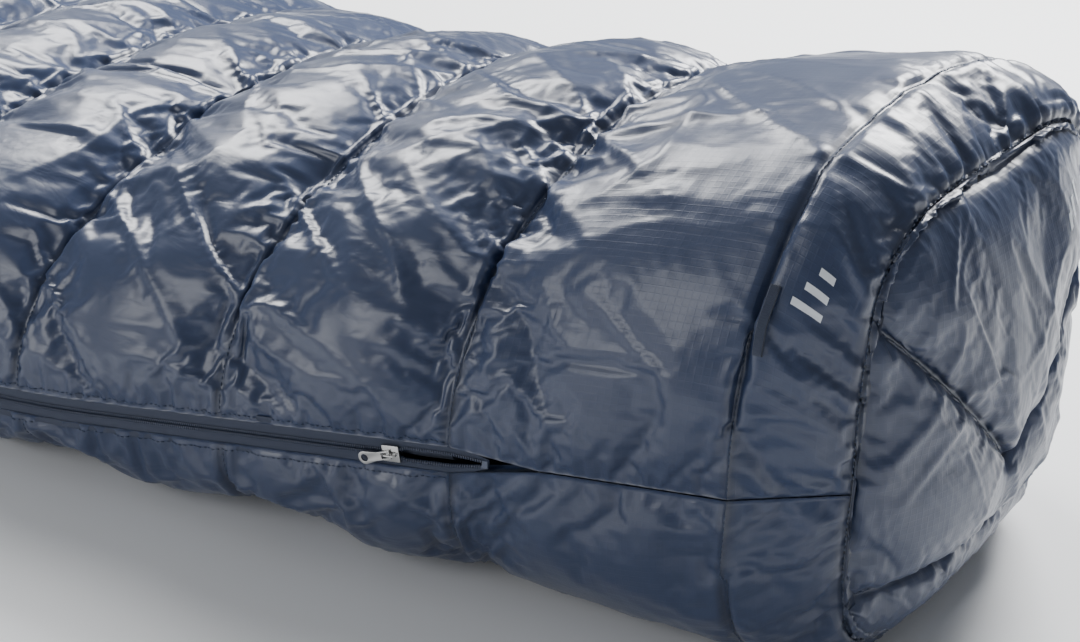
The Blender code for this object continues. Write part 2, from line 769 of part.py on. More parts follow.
def facet(along_a, along_b, column, swells):
    """(middle, around, normal, size, rise) of one facet of the shell's outer face above.

    size is the facet's width around the bag and along it. rise is how far its diagonal lies
    above the mean plane, which is negative where the facet is hollow.
    """
    rings = []
    for along, swell in zip((along_a, along_b), swells):
        rings.append(half_ring(along, True, -CREST_BULGE, 0.0, swell))
    corners = [Vector(rings[i][column + j]) for i in (0, 1) for j in (0, 1)]
    middle = sum(corners, Vector()) / 4
    around = (corners[1] + corners[3] - corners[0] - corners[2]) / 2
    length = (corners[2] + corners[3] - corners[0] - corners[1]) / 2
    normal = around.cross(length).normalized()
    if normal.z < 0:
        normal.negate()
    rise = (corners[0] - middle).dot(normal)
    return middle, around.normalized(), normal, (around.length, length.length), rise


def build_hang_loops(binding):
    """Two stitched loops beside the panel seam, one on each side of the bag."""
    swells = (1.0, 0.0)
    for name, column in (("hang_loop_near", 2), ("hang_loop_far", COLUMNS - 3)):
        places = (PANEL_SEAM * 2 / 3, PANEL_SEAM)
        middle, around, normal, size, rise = facet(*places, column, swells)
        half, thin = LOOP_LENGTH / 2, LOOP_THICKNESS
        reach = LOOP_LENGTH / size[0] + LOOP_WIDTH / size[1]
        lift = max(rise, rise * (1 - reach)) + PIECE_GAP
        outline = [(-half, lift), (half, lift), (half, lift + thin / 2), (half - thin, lift + thin)]
        outline += [(thin - half, lift + thin), (-half, lift + thin / 2)]
        across = around.cross(normal)
        axes = (around, normal, across)
        loop = outline_solid(name, outline, axes, -LOOP_WIDTH / 2, LOOP_WIDTH / 2, binding)
        loop.location = middle


def eyelet_profile(low):
    """Radius and height of the points round an eyelet's section, its foot at a height."""
    high = low + EYELET_THICKNESS
    soft = EYELET_THICKNESS / 3
    profile = [(EYELET_HOLE, low), (EYELET_RADIUS, low), (EYELET_RADIUS, high - soft)]
    profile += [(EYELET_RADIUS - soft, high), (EYELET_HOLE + soft, high)]
    profile.append((EYELET_HOLE, high - soft))
    return profile


def turned_mesh(name, profile, steps):
    """A closed ring made by spinning a section about z."""
    shape = bmesh.new()
    points = [shape.verts.new((radius, 0, height)) for radius, height in profile]
    edges = [shape.edges.new((points[i - 1], points[i])) for i in range(len(points))]
    bmesh.ops.spin(
        shape,
        geom=points + edges,
        cent=(0, 0, 0),
        axis=(0, 0, 1),
        angle=2 * math.pi,
        steps=steps,
        use_merge=True,
    )
    bmesh.ops.remove_doubles(shape, verts=shape.verts, dist=0.01 * MM)
    bmesh.ops.recalc_face_normals(shape, faces=shape.faces)
    mesh = bpy.data.meshes.new(name)
    shape.to_mesh(mesh)
    shape.free()
    return mesh


def build_eyelets(metal):
    """Two eyelets in the top hem, where a drawcord would leave it."""
    places = (CHEST_END + PIECE_GAP / 2, BAG_LENGTH)
    for name, column in (("neck_eyelet_near", COLUMNS // 2 - 1), ("neck_eyelet_far", COLUMNS // 2)):
        middle, _, normal, _, rise = facet(*places, column, (0.0, 0.0))
        profile = eyelet_profile(abs(rise) + PIECE_GAP)
        item = add_object(name, turned_mesh(name, profile, EYELET_STEPS), metal)
        turn = normal.to_track_quat("Z", "X").to_matrix().to_4x4()
        item.matrix_world = Matrix.Translation(middle) @ turn
        item.data.shade_smooth()
        item.data.set_sharp_from_angle(angle=math.radians(40))


def hinge_empty():
    """An empty on the far side seam, which the opening chest pieces turn about."""
    empty = bpy.data.objects.new("chest_turns_here", None)
    empty.location = (place_x(HIP), NECK_HALF_WIDTH, HIP_SEAM_HEIGHT)
    bpy.context.scene.collection.objects.link(empty)
    return empty


def hang_on(parent, names):
    """Parents objects to another and leaves them where they are."""
    bpy.context.view_layer.update()
    for name in names:
        item = bpy.data.objects[name]
        item.parent = parent
        item.matrix_parent_inverse = parent.matrix_world.inverted()


def main():
    """Builds every piece of the bag."""
    clear_scene()
    cloth = make_material("shell_cloth", (0.045, 0.068, 0.125), 0.38)
    lining = make_material("lining_cloth", (0.055, 0.075, 0.12), 0.5)
    filling = make_material("filling", (0.8, 0.8, 0.78), 0.9)
    tape = make_material("zip_tape", (0.03, 0.045, 0.08), 0.75)
    coil = make_material("zip_coil", (0.05, 0.065, 0.1), 0.4)
    binding = make_material("binding", (0.035, 0.05, 0.09), 0.6)
    metal = make_material("metal", (0.75, 0.75, 0.74), 0.28, 1.0)
    build_foot(cloth, filling)
    build_tops(cloth, filling, lining)
    build_bottom(cloth, filling, lining)
    build_end(cloth, filling)
    build_foot_lining(lining)
    build_zip_strips(tape, coil)
    build_stops(metal)
    build_draft_tubes(lining)
    build_hems(binding)
    build_hang_loops(binding)
    build_eyelets(metal)
    build_slider("lower_slider", LOWER_SLIDER_ALONG, -1, metal)
    build_pull_tab("lower_pull_tab", LOWER_SLIDER_ALONG, 1, TAB_TILT, metal)
    build_slider("upper_slider", UPPER_SLIDER_ALONG, 1, metal)
    build_pull_tab("upper_pull_tab", UPPER_SLIDER_ALONG, -1, -TAB_TILT, metal)
    opening = ["chest_top_shell", "chest_top_lining", "neck_hem_top", "draft_tube_chest"]
    opening += [f"chest_top_fill_{index + 1}" for index in range(CHEST_CHAMBERS)]
    opening += ["zip_tape_upper_chest", "zip_chain_upper_chest", "zip_neck_stop_upper"]
    opening += ["neck_eyelet_near", "neck_eyelet_far"]
    hang_on(hinge_empty(), opening)


main()
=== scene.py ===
"""The looks of a hoodless quilt bag: sewn nylon skins, zip, sliders, binding and stitching.

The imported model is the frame. Lengths are metres. The bag lies along X with its foot at +X, and
its zip is on the -Y side. Places along it are distances from the end seam towards the neck.
"""

import logging
import math
from dataclasses import dataclass, field
from enum import Enum
from typing import Callable, Iterable, Optional, Sequence

import bmesh
import bpy
import numpy as np
from mathutils import Matrix, Vector


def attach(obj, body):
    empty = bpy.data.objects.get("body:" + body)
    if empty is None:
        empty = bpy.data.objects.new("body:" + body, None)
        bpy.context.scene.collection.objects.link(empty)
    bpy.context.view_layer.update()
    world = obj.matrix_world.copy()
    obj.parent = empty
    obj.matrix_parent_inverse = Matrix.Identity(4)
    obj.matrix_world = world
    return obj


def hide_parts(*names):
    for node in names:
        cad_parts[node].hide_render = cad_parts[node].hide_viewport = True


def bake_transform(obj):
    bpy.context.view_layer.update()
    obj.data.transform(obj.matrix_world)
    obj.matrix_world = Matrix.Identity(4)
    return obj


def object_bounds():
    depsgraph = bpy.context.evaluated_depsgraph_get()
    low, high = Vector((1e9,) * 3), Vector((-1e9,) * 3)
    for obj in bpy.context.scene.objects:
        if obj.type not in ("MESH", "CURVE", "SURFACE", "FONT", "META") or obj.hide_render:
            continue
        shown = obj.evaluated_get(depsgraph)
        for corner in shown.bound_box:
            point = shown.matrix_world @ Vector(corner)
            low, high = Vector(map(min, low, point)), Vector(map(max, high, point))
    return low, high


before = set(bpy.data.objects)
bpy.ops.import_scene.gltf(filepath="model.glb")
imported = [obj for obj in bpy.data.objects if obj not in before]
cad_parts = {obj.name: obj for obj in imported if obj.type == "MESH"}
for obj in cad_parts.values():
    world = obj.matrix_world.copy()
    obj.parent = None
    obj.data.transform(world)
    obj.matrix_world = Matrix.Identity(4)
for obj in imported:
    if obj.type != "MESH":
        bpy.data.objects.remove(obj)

CAD_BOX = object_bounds()
MM = 0.001
BASE = "bag_base"
CHEST = "chest_panel"
FLOOR_CLEARANCE = 0.3 * MM
log = logging.getLogger("quilt_bag")


class Half(Enum):
    """The upper and the lower side of the bag."""

    TOP = 1
    BOTTOM = -1


class Weave(Enum):
    """Named cloth weaves, each with the spacing of its reinforcing threads in metres."""

    PLAIN = 0.0
    RIPSTOP = 4.2 * MM


@dataclass(frozen=True)
class BagForm:
    """The bag's outline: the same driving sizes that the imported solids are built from.

    Each tuple holds one value for every knot, from the end seam towards the neck.
    """

    panel_seam: float = 55 * MM
    first_seam: float = 231 * MM
    pitch: float = 165 * MM
    chambers: int = 10
    leg_chambers: int = 5
    end_bulge: float = 50 * MM
    hem_width: float = 12 * MM
    end_half_width: float = 138 * MM
    floor_press: float = 4 * MM
    crest_bulge: float = 14 * MM
    zip_gap: float = 9 * MM
    edge_gap: float = 0.5 * MM
    blend_reach: float = 60 * MM
    stiff_length: float = 90 * MM
    side_half_widths: tuple[float, ...] = (0.178, 0.199, 0.276, 0.385)
    side_heights: tuple[float, ...] = (0.148, 0.142, 0.1246, 0.061, 0.050)
    top_heights: tuple[float, ...] = (0.305, 0.327, 0.285, 0.221, 0.181, 0.175, 0.170)
    end_low_height: float = 16 * MM
    top_powers: tuple[float, ...] = (4.5, 2.7, 1.95)
    bottom_powers: tuple[float, ...] = (3.6, 2.9)

    @property
    def neck(self) -> float:
        """The place of the last seam, where the neck hem starts."""
        return self.first_seam + self.chambers * self.pitch

    @property
    def hip(self) -> float:
        """The place of the seam where the opening half of the top starts."""
        return self.first_seam + self.leg_chambers * self.pitch

    @property
    def end_x(self) -> float:
        """The x of the end seam: the frame's foot end less the end panel's bulge."""
        return CAD_BOX[1].x - self.end_bulge

    @property
    def zip_start(self) -> float:
        """The place on the foot wall where the cloth starts to draw back from the zip."""
        return self.panel_seam + (self.first_seam - self.panel_seam) * 2 / 3

    @property
    def knee(self) -> float:
        """The place of the seam over the knees."""
        return self.first_seam + 2 * self.pitch

    @property
    def side_places(self) -> tuple[float, ...]:
        """The knots of the side seams."""
        return (0.0, self.panel_seam, self.zip_start, self.knee, self.hip)

    def _knots(self, along: np.ndarray, places: Sequence[float], values: Sequence[float]) -> np.ndarray:
        """A value on straight lines between knots, rounded off where the bag is long and soft.

        Args:
            along: Places to read, as an array.
            places: The knots' places.
            values: The knots' values in metres.

        Returns:
            The value at each place.
        """
        reach = np.clip((along - self.stiff_length) * 0.5, 0.0, self.blend_reach)
        steps = np.linspace(-1.0, 1.0, 9)
        spread = [np.interp(along + reach * step, places, values) for step in steps]
        return np.mean(spread, axis=0)

    def half_width(self, along: np.ndarray) -> np.ndarray:
        """Half the width at the side seams."""
        return self._knots(along, self.side_places, (self.end_half_width, *self.side_half_widths))

    def seam_height(self, along: np.ndarray) -> np.ndarray:
        """Height of the side seams over the floor."""
        return self._knots(along, self.side_places, self.side_heights)

    def top_height(self, along: np.ndarray) -> np.ndarray:
        """Height of the seams' envelope over the middle line."""
        thigh = self.hip - self.pitch
        places = (0.0, self.panel_seam, self.first_seam, self.knee, thigh, self.hip, self.neck)
        return self._knots(along, places, self.top_heights)

    def bottom_height(self, along: np.ndarray) -> np.ndarray:
        """Height of the seams' envelope under the middle line."""
        return np.interp(along, (0.0, self.panel_seam), (self.end_low_height, self.crest_bulge))

    def power(self, along: np.ndarray, half: Half) -> np.ndarray:
        """How square a half ring is: 2 is an ellipse, more is nearer a box."""
        if half is Half.TOP:
            return np.interp(along, (0.0, self.panel_seam, self.first_seam), self.top_powers)
        return np.interp(along, (0.0, self.neck), self.bottom_powers)

    def edge(self, along: np.ndarray) -> np.ndarray:
        """How far the cloth's near edge stays from the side seam's line, to bare the zip."""
        return np.interp(along, (self.zip_start, self.first_seam), (self.edge_gap, self.zip_gap))

    def half_ring(self, along: float, half: Half, columns: int, depth: np.ndarray) -> np.ndarray:
        """Points of one half ring, from the near side seam over to the far one.

        Args:
            along: The ring's place.
            half: The upper or lower side.
            columns: The number of steps between the two seams.
            depth: How far inside the envelope each point lies, negative outside it.

        Returns:
            An array of (columns + 1, 3) points.
        """
        place = np.array([along])
        width = float(self.half_width(place)[0])
        height = float(self.seam_height(place)[0])
        reader = self.top_height if half is Half.TOP else self.bottom_height
        limit = float(reader(place)[0])
        power = float(self.power(place, half)[0])
        fine = np.linspace(0.0, math.pi, 1441)
        side = np.sign(np.cos(fine)) * np.abs(np.cos(fine)) ** (2 / power)
        rise = np.sin(fine).clip(0.0) ** (2 / power)
        steps = np.hypot(np.diff(width * side), np.diff(abs(limit - height) * rise))
        lengths = np.concatenate([[0.0], np.cumsum(steps)])
        angles = np.interp(np.linspace(0.0, lengths[-1], columns + 1), lengths, fine)
        across = np.sign(np.cos(angles)) * np.abs(np.cos(angles)) ** (2 / power)
        up = np.sin(angles).clip(0.0) ** (2 / power)
        near = float(self.edge(place)[0])
        edge = near * (1 + across) / 2 + self.edge_gap * (1 - across) / 2
        y = -(width - depth) * across
        if half is Half.TOP:
            base = height + edge
            z = base + (limit - depth - base) * up
        else:
            base = height - edge
            lowest = limit + depth
            z = np.maximum(lowest, base - (base - lowest + self.floor_press) * up)
        return np.column_stack([np.full(columns + 1, self.end_x - along), y, z])


@dataclass(frozen=True)
class Strip:
    """One band of cloth between two seams: its places and how finely it is meshed."""

    start: float
    length: float
    rows: int
    bulge: float


def noise(u: np.ndarray, v: np.ndarray, cell_u: float, cell_v: float, seed: int) -> np.ndarray:
    """Smooth seeded noise over a surface.

    Args:
        u: Distances round the surface.
        v: Distances along it.
        cell_u: Size of a lump round the surface.
        cell_v: Size of a lump along it.
        seed: Which noise to draw.

    Returns:
        Values between about -1 and 1.
    """
    draw = np.random.default_rng(seed)
    table = draw.uniform(-1.0, 1.0, (256, 256))
    a, b = u / cell_u + 64.0, v / cell_v + 64.0
    i, j = np.floor(a).astype(int), np.floor(b).astype(int)
    s, t = a - i, b - j
    s, t = s * s * (3 - 2 * s), t * t * (3 - 2 * t)
    low = table[i % 256, j % 256] * (1 - s) + table[(i + 1) % 256, j % 256] * s
    high = table[i % 256, (j + 1) % 256] * (1 - s) + table[(i + 1) % 256, (j + 1) % 256] * s
    return low * (1 - t) + high * t


def normals_of(grid: np.ndarray) -> np.ndarray:
    """Unit normals of a grid of points, from its rows and columns."""
    down = np.gradient(grid, axis=0)
    side = np.gradient(grid, axis=1)
    normal = np.cross(down, side)
    length = np.linalg.norm(normal, axis=2, keepdims=True)
    return normal / np.maximum(length, 1e-12)


def lengths_along(line: np.ndarray) -> np.ndarray:
    """How far along a line each of its points lies."""
    steps = np.linalg.norm(np.diff(line, axis=0), axis=1)
    return np.concatenate([[0.0], np.cumsum(steps)])


def quads_of(index: np.ndarray) -> np.ndarray:
    """Quads over a grid of point numbers, as (count, 4)."""
    quads = np.stack([index[:-1, :-1], index[1:, :-1], index[1:, 1:], index[:-1, 1:]], axis=-1)
    return quads.reshape(-1, 4)


def linked(name: str, mesh: bpy.types.Mesh) -> bpy.types.Object:
    """A new object in the scene that holds a mesh."""
    item = bpy.data.objects.new(name, mesh)
    bpy.context.scene.collection.objects.link(item)
    return item


def doubled(grid: np.ndarray) -> np.ndarray:
    """A grid with a point added between each two, on a smooth curve through its neighbours."""
    for axis in (0, 1):
        data = np.moveaxis(grid, axis, 0)
        padded = np.concatenate([2 * data[:1] - data[1:2], data, 2 * data[-1:] - data[-2:-1]])
        middle = (9 * (padded[1:-2] + padded[2:-1]) - padded[:-3] - padded[3:]) / 16
        made = np.empty((2 * len(data) - 1, *data.shape[1:]))
        made[::2], made[1::2] = data, middle
        grid = np.moveaxis(made, 0, axis)
    return grid


@dataclass(frozen=True)
class ClothRecipe:
    """How a sewn skin is inflated: the cloth is cut larger than the seams that hold it."""

    pressure: float = 4.0
    ease: float = 0.06
    frames: int = 13
    bending: float = 0.08
    cap: float = 22 * MM
    quality: int = 4
    mass: float = 0.1
    stretch_stiffness: float = 25
    shear_stiffness: float = 5
    air_damping: float = 3

    def inflate(self, name: str, grid: np.ndarray, held: np.ndarray) -> np.ndarray:
        """Runs the cloth from a grid whose held points stay where they are.

        Args:
            name: A name for the helper object.
            grid: (rows, columns, 3) points that face outwards.
            held: (rows, columns) weights, 1 where sewn down.

        Returns:
            The grid after the simulation, each point moved by no more than the cap.
        """
        helper = grid_object(name, grid)
        group = helper.vertex_groups.new(name="sewn")
        weights = held.reshape(-1)
        for level in np.unique(weights[weights > 0]):
            points = np.nonzero(weights == level)[0].tolist()
            group.add(points, float(level), "REPLACE")
        cloth = helper.modifiers.new("cloth", "CLOTH")
        settings = cloth.settings
        settings.quality = self.quality
        settings.mass = self.mass
        settings.vertex_group_mass = "sewn"
        settings.bending_stiffness = self.bending
        settings.tension_stiffness = self.stretch_stiffness
        settings.compression_stiffness = self.stretch_stiffness
        settings.shear_stiffness = self.shear_stiffness
        settings.air_damping = self.air_damping
        settings.shrink_min = -self.ease
        settings.use_pressure = True
        settings.uniform_pressure_force = self.pressure
        settings.effector_weights.gravity = 0
        cloth.collision_settings.use_collision = False
        cloth.point_cache.frame_start = 1
        cloth.point_cache.frame_end = self.frames
        for number in range(1, self.frames + 1):
            bpy.context.scene.frame_set(number)
        shown = helper.evaluated_get(bpy.context.evaluated_depsgraph_get())
        moved = np.empty(grid.size, np.float32)
        shown.data.vertices.foreach_get("co", moved)
        bpy.context.scene.frame_set(1)
        bpy.data.objects.remove(helper, do_unlink=True)
        step = moved.reshape(grid.shape).astype(float) - grid
        length = np.linalg.norm(step, axis=2, keepdims=True)
        limit = self.cap * np.tanh(length / self.cap)
        return grid + step * limit / np.maximum(length, 1e-9)


def grid_object(name: str, grid: np.ndarray) -> bpy.types.Object:
    """A mesh object of quads over a grid of points.

    Args:
        name: The object's name.
        grid: (rows, columns, 3) points.

    Returns:
        The linked object.
    """
    rows, columns = grid.shape[:2]
    index = np.arange(rows * columns).reshape(rows, columns)
    mesh = bpy.data.meshes.new(name)
    mesh.from_pydata(grid.reshape(-1, 3).tolist(), [], quads_of(index).tolist())
    return linked(name, mesh)


def ridged(values: np.ndarray, sharp: float = 2.0) -> np.ndarray:
    """Turns smooth noise into crests: high narrow folds over flat valleys."""
    return (1.0 - np.abs(values)) ** sharp - 1.0 / (1.0 + sharp)


def paint_uv(mesh: bpy.types.Mesh, uv: np.ndarray) -> None:
    """Gives a mesh a UV map in metres from one (u, v) for each vertex."""
    layer = mesh.uv_layers.new(name="cloth")
    corners = np.empty(len(mesh.loops), np.int32)
    mesh.loops.foreach_get("vertex_index", corners)
    layer.data.foreach_set("uv", uv[corners].astype(np.float32).ravel())


def paint_value(mesh: bpy.types.Mesh, name: str, values: np.ndarray) -> None:
    """Gives a mesh a number for each vertex, which its material can read."""
    layer = mesh.attributes.new(name, "FLOAT", "POINT")
    layer.data.foreach_set("value", values.astype(np.float32).ravel())


@dataclass
class Skin:
    """A sewn surface as a grid: its shape, its cloth coordinates and how near the seams are."""

    shape: np.ndarray
    uv: np.ndarray
    seam: np.ndarray

    def part(self, rows: slice) -> "Skin":
        """The same surface between two of its rows."""
        return Skin(self.shape[rows], self.uv[rows], self.seam[rows])


def closed_piece(name: str, outer: Skin, inner: Skin, cloth: bpy.types.Material,
                 lining: bpy.types.Material, turn: bool) -> bpy.types.Object:
    """A closed padded piece between a fine outer grid and an inner grid half as fine.

    Args:
        name: The piece's name.
        outer: The outer surface, of (2 rows - 1, 2 columns - 1) points.
        inner: The inner surface, of (rows, columns) points.
        cloth: Finish of the outer surface and the rim.
        lining: Finish of the inner surface.
        turn: True where the outer grid has to be turned over to face outwards.

    Returns:
        The piece, smooth shaded, with its UV map and its seam attribute.
    """
    rows, columns = outer.shape.shape[:2]
    fine = np.arange(rows * columns).reshape(rows, columns)
    low_rows, low_columns = inner.shape.shape[:2]
    coarse = np.arange(low_rows * low_columns).reshape(low_rows, low_columns) + fine.size
    faces = []
    for index, flipped in ((fine, turn), (coarse, not turn)):
        quads = quads_of(index)
        faces.append(quads[:, ::-1] if flipped else quads)
    edges = ((fine[0], coarse[0], False), (fine[-1], coarse[-1], True))
    edges += ((fine[:, 0], coarse[:, 0], True), (fine[:, -1], coarse[:, -1], False))
    rims = []
    for high, low, other in edges:
        for step in range(len(low) - 1):
            face = [int(low[step]), *high[2 * step:2 * step + 3].tolist(), int(low[step + 1])]
            rims.append(face[::-1] if other == turn else face)
    mesh = bpy.data.meshes.new(name)
    points = np.concatenate([outer.shape.reshape(-1, 3), inner.shape.reshape(-1, 3)])
    mesh.from_pydata(points.tolist(), [], faces[0].tolist() + faces[1].tolist() + rims)
    mesh.materials.append(cloth)
    mesh.materials.append(lining)
    slots = np.zeros(len(mesh.polygons), np.int32)
    slots[len(faces[0]):len(faces[0]) + len(faces[1])] = 1
    mesh.polygons.foreach_set("material_index", slots)
    paint_uv(mesh, np.concatenate([outer.uv.reshape(-1, 2), inner.uv.reshape(-1, 2)]))
    paint_value(mesh, "seam", np.concatenate([outer.seam.ravel(), inner.seam.ravel()]))
    mesh.shade_smooth()
    return linked(name, mesh)


@dataclass
class HalfSkin:
    """The whole upper or lower side of the bag, sewn at every seam, then cut into its panels."""

    form: BagForm
    half: Half
    columns: int
    toe_rows: int
    foot_rows: int
    near_rows: int
    far_rows: int
    recipe: ClothRecipe
    seed: int
    near_chambers: int = 4
    panel_hold: float = 0.12
    panel_bulge: float = 3 * MM
    chamber_bulge: float = 8 * MM
    lining_depth: float = 10.8 * MM
    lining_swell: float = 11 * MM
    outer: Optional[Skin] = None
    inner: Optional[Skin] = None
    seam_rows: list[int] = field(default_factory=list)

    def strips(self) -> list[Strip]:
        """The bands of cloth from the end seam to the neck, with their row counts."""
        form = self.form
        bands = [Strip(0.0, form.panel_seam, self.toe_rows, self.panel_bulge)]
        foot = form.first_seam - form.panel_seam
        bands.append(Strip(form.panel_seam, foot, self.foot_rows, self.panel_bulge))
        for index in range(form.chambers):
            rows = self.near_rows if index < self.near_chambers else self.far_rows
            start = form.first_seam + index * form.pitch
            bands.append(Strip(start, form.pitch, rows, self.chamber_bulge))
        return bands

    def side(self, columns: int) -> np.ndarray:
        """How much of a fold or a swell is left in each column: none at the side seams."""
        return np.minimum(1.0, 2.2 * np.sin(np.linspace(0.0, math.pi, columns + 1)).clip(0.0))

    def lay_out(self) -> tuple[np.ndarray, ...]:
        """Lays both surfaces out row by row, and notes the row of each seam.

        Returns:
            The outer points, the inner points, how firmly each point is held, how far it is
            from a seam, and its cloth coordinates.
        """
        outer, inner, held, near, uv = [], [], [], [], []
        side = self.side(self.columns)
        level = np.ones(self.columns + 1)
        steps = np.linspace(-0.5, 0.5, self.columns + 1)
        bands = self.strips()
        for number, band in enumerate(bands):
            last = number == len(bands) - 1
            self.seam_rows.append(len(held))
            for row in range(band.rows + last):
                share = row / band.rows
                along = band.start + band.length * share
                swell = math.sin(math.pi * share) ** 0.7
                ring = self.form.half_ring(along, self.half, self.columns, -band.bulge * swell * side)
                lined = self.lining_depth + self.lining_swell * swell * side
                outer.append(ring)
                inner.append(self.form.half_ring(along, self.half, self.columns, lined))
                flat_seam = number == 1 and row == 0
                held.append(level * (self.panel_hold if flat_seam else row in (0, band.rows)))
                near.append(level * (band.length * min(share, 1.0 - share)))
                span = float(np.linalg.norm(np.diff(ring, axis=0), axis=1).sum())
                uv.append(np.column_stack([steps * span, level * along]))
        self.seam_rows.append(len(held) - 1)
        return tuple(map(np.array, (outer, inner, held, near, uv)))

    def build(self) -> None:
        """Lays out the rows, folds the cloth, inflates it and adds the fine puckers."""
        grid, inner, held, near, uv = self.lay_out()
        held[:, [0, -1]] = 1.0
        out = normals_of(grid) * -self.half.value
        grid = grid + out * (self.folds(uv, near) * self.side(self.columns))[..., None]
        order = slice(None, None, -1 if self.half is Half.TOP else 1)
        name = f"{self.half.name.lower()}_cloth"
        grid = self.recipe.inflate(name, grid[:, order], held[:, order])[:, order]
        fine, uv_fine = doubled(grid), doubled(uv)
        near_fine = doubled(near[..., None])[..., 0].clip(0.0)
        out = normals_of(fine) * -self.half.value
        fine_side = self.side(2 * self.columns)
        fine = fine + out * (self.puckers(uv_fine, near_fine) * fine_side)[..., None]
        fine[..., 2] = fine[..., 2].clip(FLOOR_CLEARANCE)
        self.outer = Skin(fine, uv_fine, near_fine)
        self.inner = Skin(self.ruffled(inner, uv, near), uv, near)

    def folds(self, uv: np.ndarray, near: np.ndarray) -> np.ndarray:
        """Heights of the folds that the cloth is laid in before it is inflated."""
        u, v = uv[..., 0], uv[..., 1]
        wander = 9 * MM * noise(u, v, 60 * MM, 70 * MM, self.seed)
        amount = 0.65 + 0.5 * noise(u, v, 70 * MM, 90 * MM, self.seed + 1)
        chamber = np.clip((v - self.form.panel_seam) / (0.5 * self.form.first_seam), 0.25, 1.0)
        toe = np.clip(1.3 - v / self.form.panel_seam, 0.0, 1.0)
        long = ridged(noise(u + wander, v, 24 * MM, 130 * MM, self.seed + 2))
        short = ridged(noise(u + wander, v, 13 * MM, 60 * MM, self.seed + 3))
        slant = ridged(noise(u - 0.7 * v, 0.5 * v + u, 42 * MM, 150 * MM, self.seed + 4), 3.0)
        cross = ridged(noise(u + 0.6 * v, v - 0.4 * u, 55 * MM, 120 * MM, self.seed + 5), 3.0)
        by_seam = np.exp(-near / (26 * MM))
        calm = np.clip((v - self.form.first_seam) / self.form.pitch, 0.0, 1.0)
        height = 5.2 * MM * long * amount * chamber
        height += 3.4 * MM * short * by_seam * (0.5 + 0.5 * chamber + 0.8 * toe)
        height += 3.2 * MM * (slant + cross) * (0.35 + 0.65 * amount) * (1.0 - 0.3 * calm)
        return height * np.clip(near / (7 * MM), 0.0, 1.0)

    def puckers(self, uv: np.ndarray, near: np.ndarray) -> np.ndarray:
        """Heights of the fine puckers across each seam and of the groove that its thread pulls."""
        u, v = uv[..., 0], uv[..., 1]
        wander = 3 * MM * noise(u, v, 20 * MM, 25 * MM, self.seed + 6)
        amount = 0.7 + 0.45 * noise(u, v, 45 * MM, 165 * MM, self.seed + 7)
        fine = ridged(noise(u + wander, v, 7.5 * MM, 26 * MM, self.seed + 8))
        height = 3.0 * MM * fine * amount * np.exp(-near / (17 * MM)) * np.clip(near / (3 * MM), 0.3, 1)
        creased = ridged(noise(u + 2 * wander, v, 11 * MM, 45 * MM, self.seed + 9), 3.0)
        height += 0.8 * MM * creased * amount * np.clip(near / (12 * MM), 0.0, 1.0)
        foot = np.clip((v - self.form.panel_seam) / (60 * MM), 0.0, 1.0)
        height *= 0.45 + 0.55 * np.maximum(foot, np.clip(1.6 - v / (25 * MM), 0.0, 1.0))
        return height - 1.3 * MM * np.exp(-((near / (2.4 * MM)) ** 2))

    def ruffled(self, grid: np.ndarray, uv: np.ndarray, near: np.ndarray) -> np.ndarray:
        """The lining, lightly folded where it is free of the seams."""
        u, v = uv[..., 0], uv[..., 1]
        out = normals_of(grid) * -self.half.value
        lumps = noise(u, v, 30 * MM, 60 * MM, self.seed + 10)
        height = 2.2 * MM * lumps * np.clip(near / (20 * MM), 0.0, 1.0) * self.side(self.columns)
        return grid + out * height[..., None]

    def panel(self, name: str, first: int, last: int, cloth: bpy.types.Material,
              lining: bpy.types.Material) -> bpy.types.Object:
        """One padded panel between two of the seams, counted from the end seam.

        Args:
            name: The piece's name.
            first: The seam it starts at.
            last: The seam it ends at.
            cloth: Its outer finish.
            lining: Its inner finish.

        Returns:
            The closed piece.
        """
        start, end = self.seam_rows[first], self.seam_rows[last]
        outer = self.outer.part(slice(2 * start, 2 * end + 1))
        inner = self.inner.part(slice(start, end + 1))
        piece = closed_piece(name, outer, inner, cloth, lining, self.half is Half.TOP)
        return piece


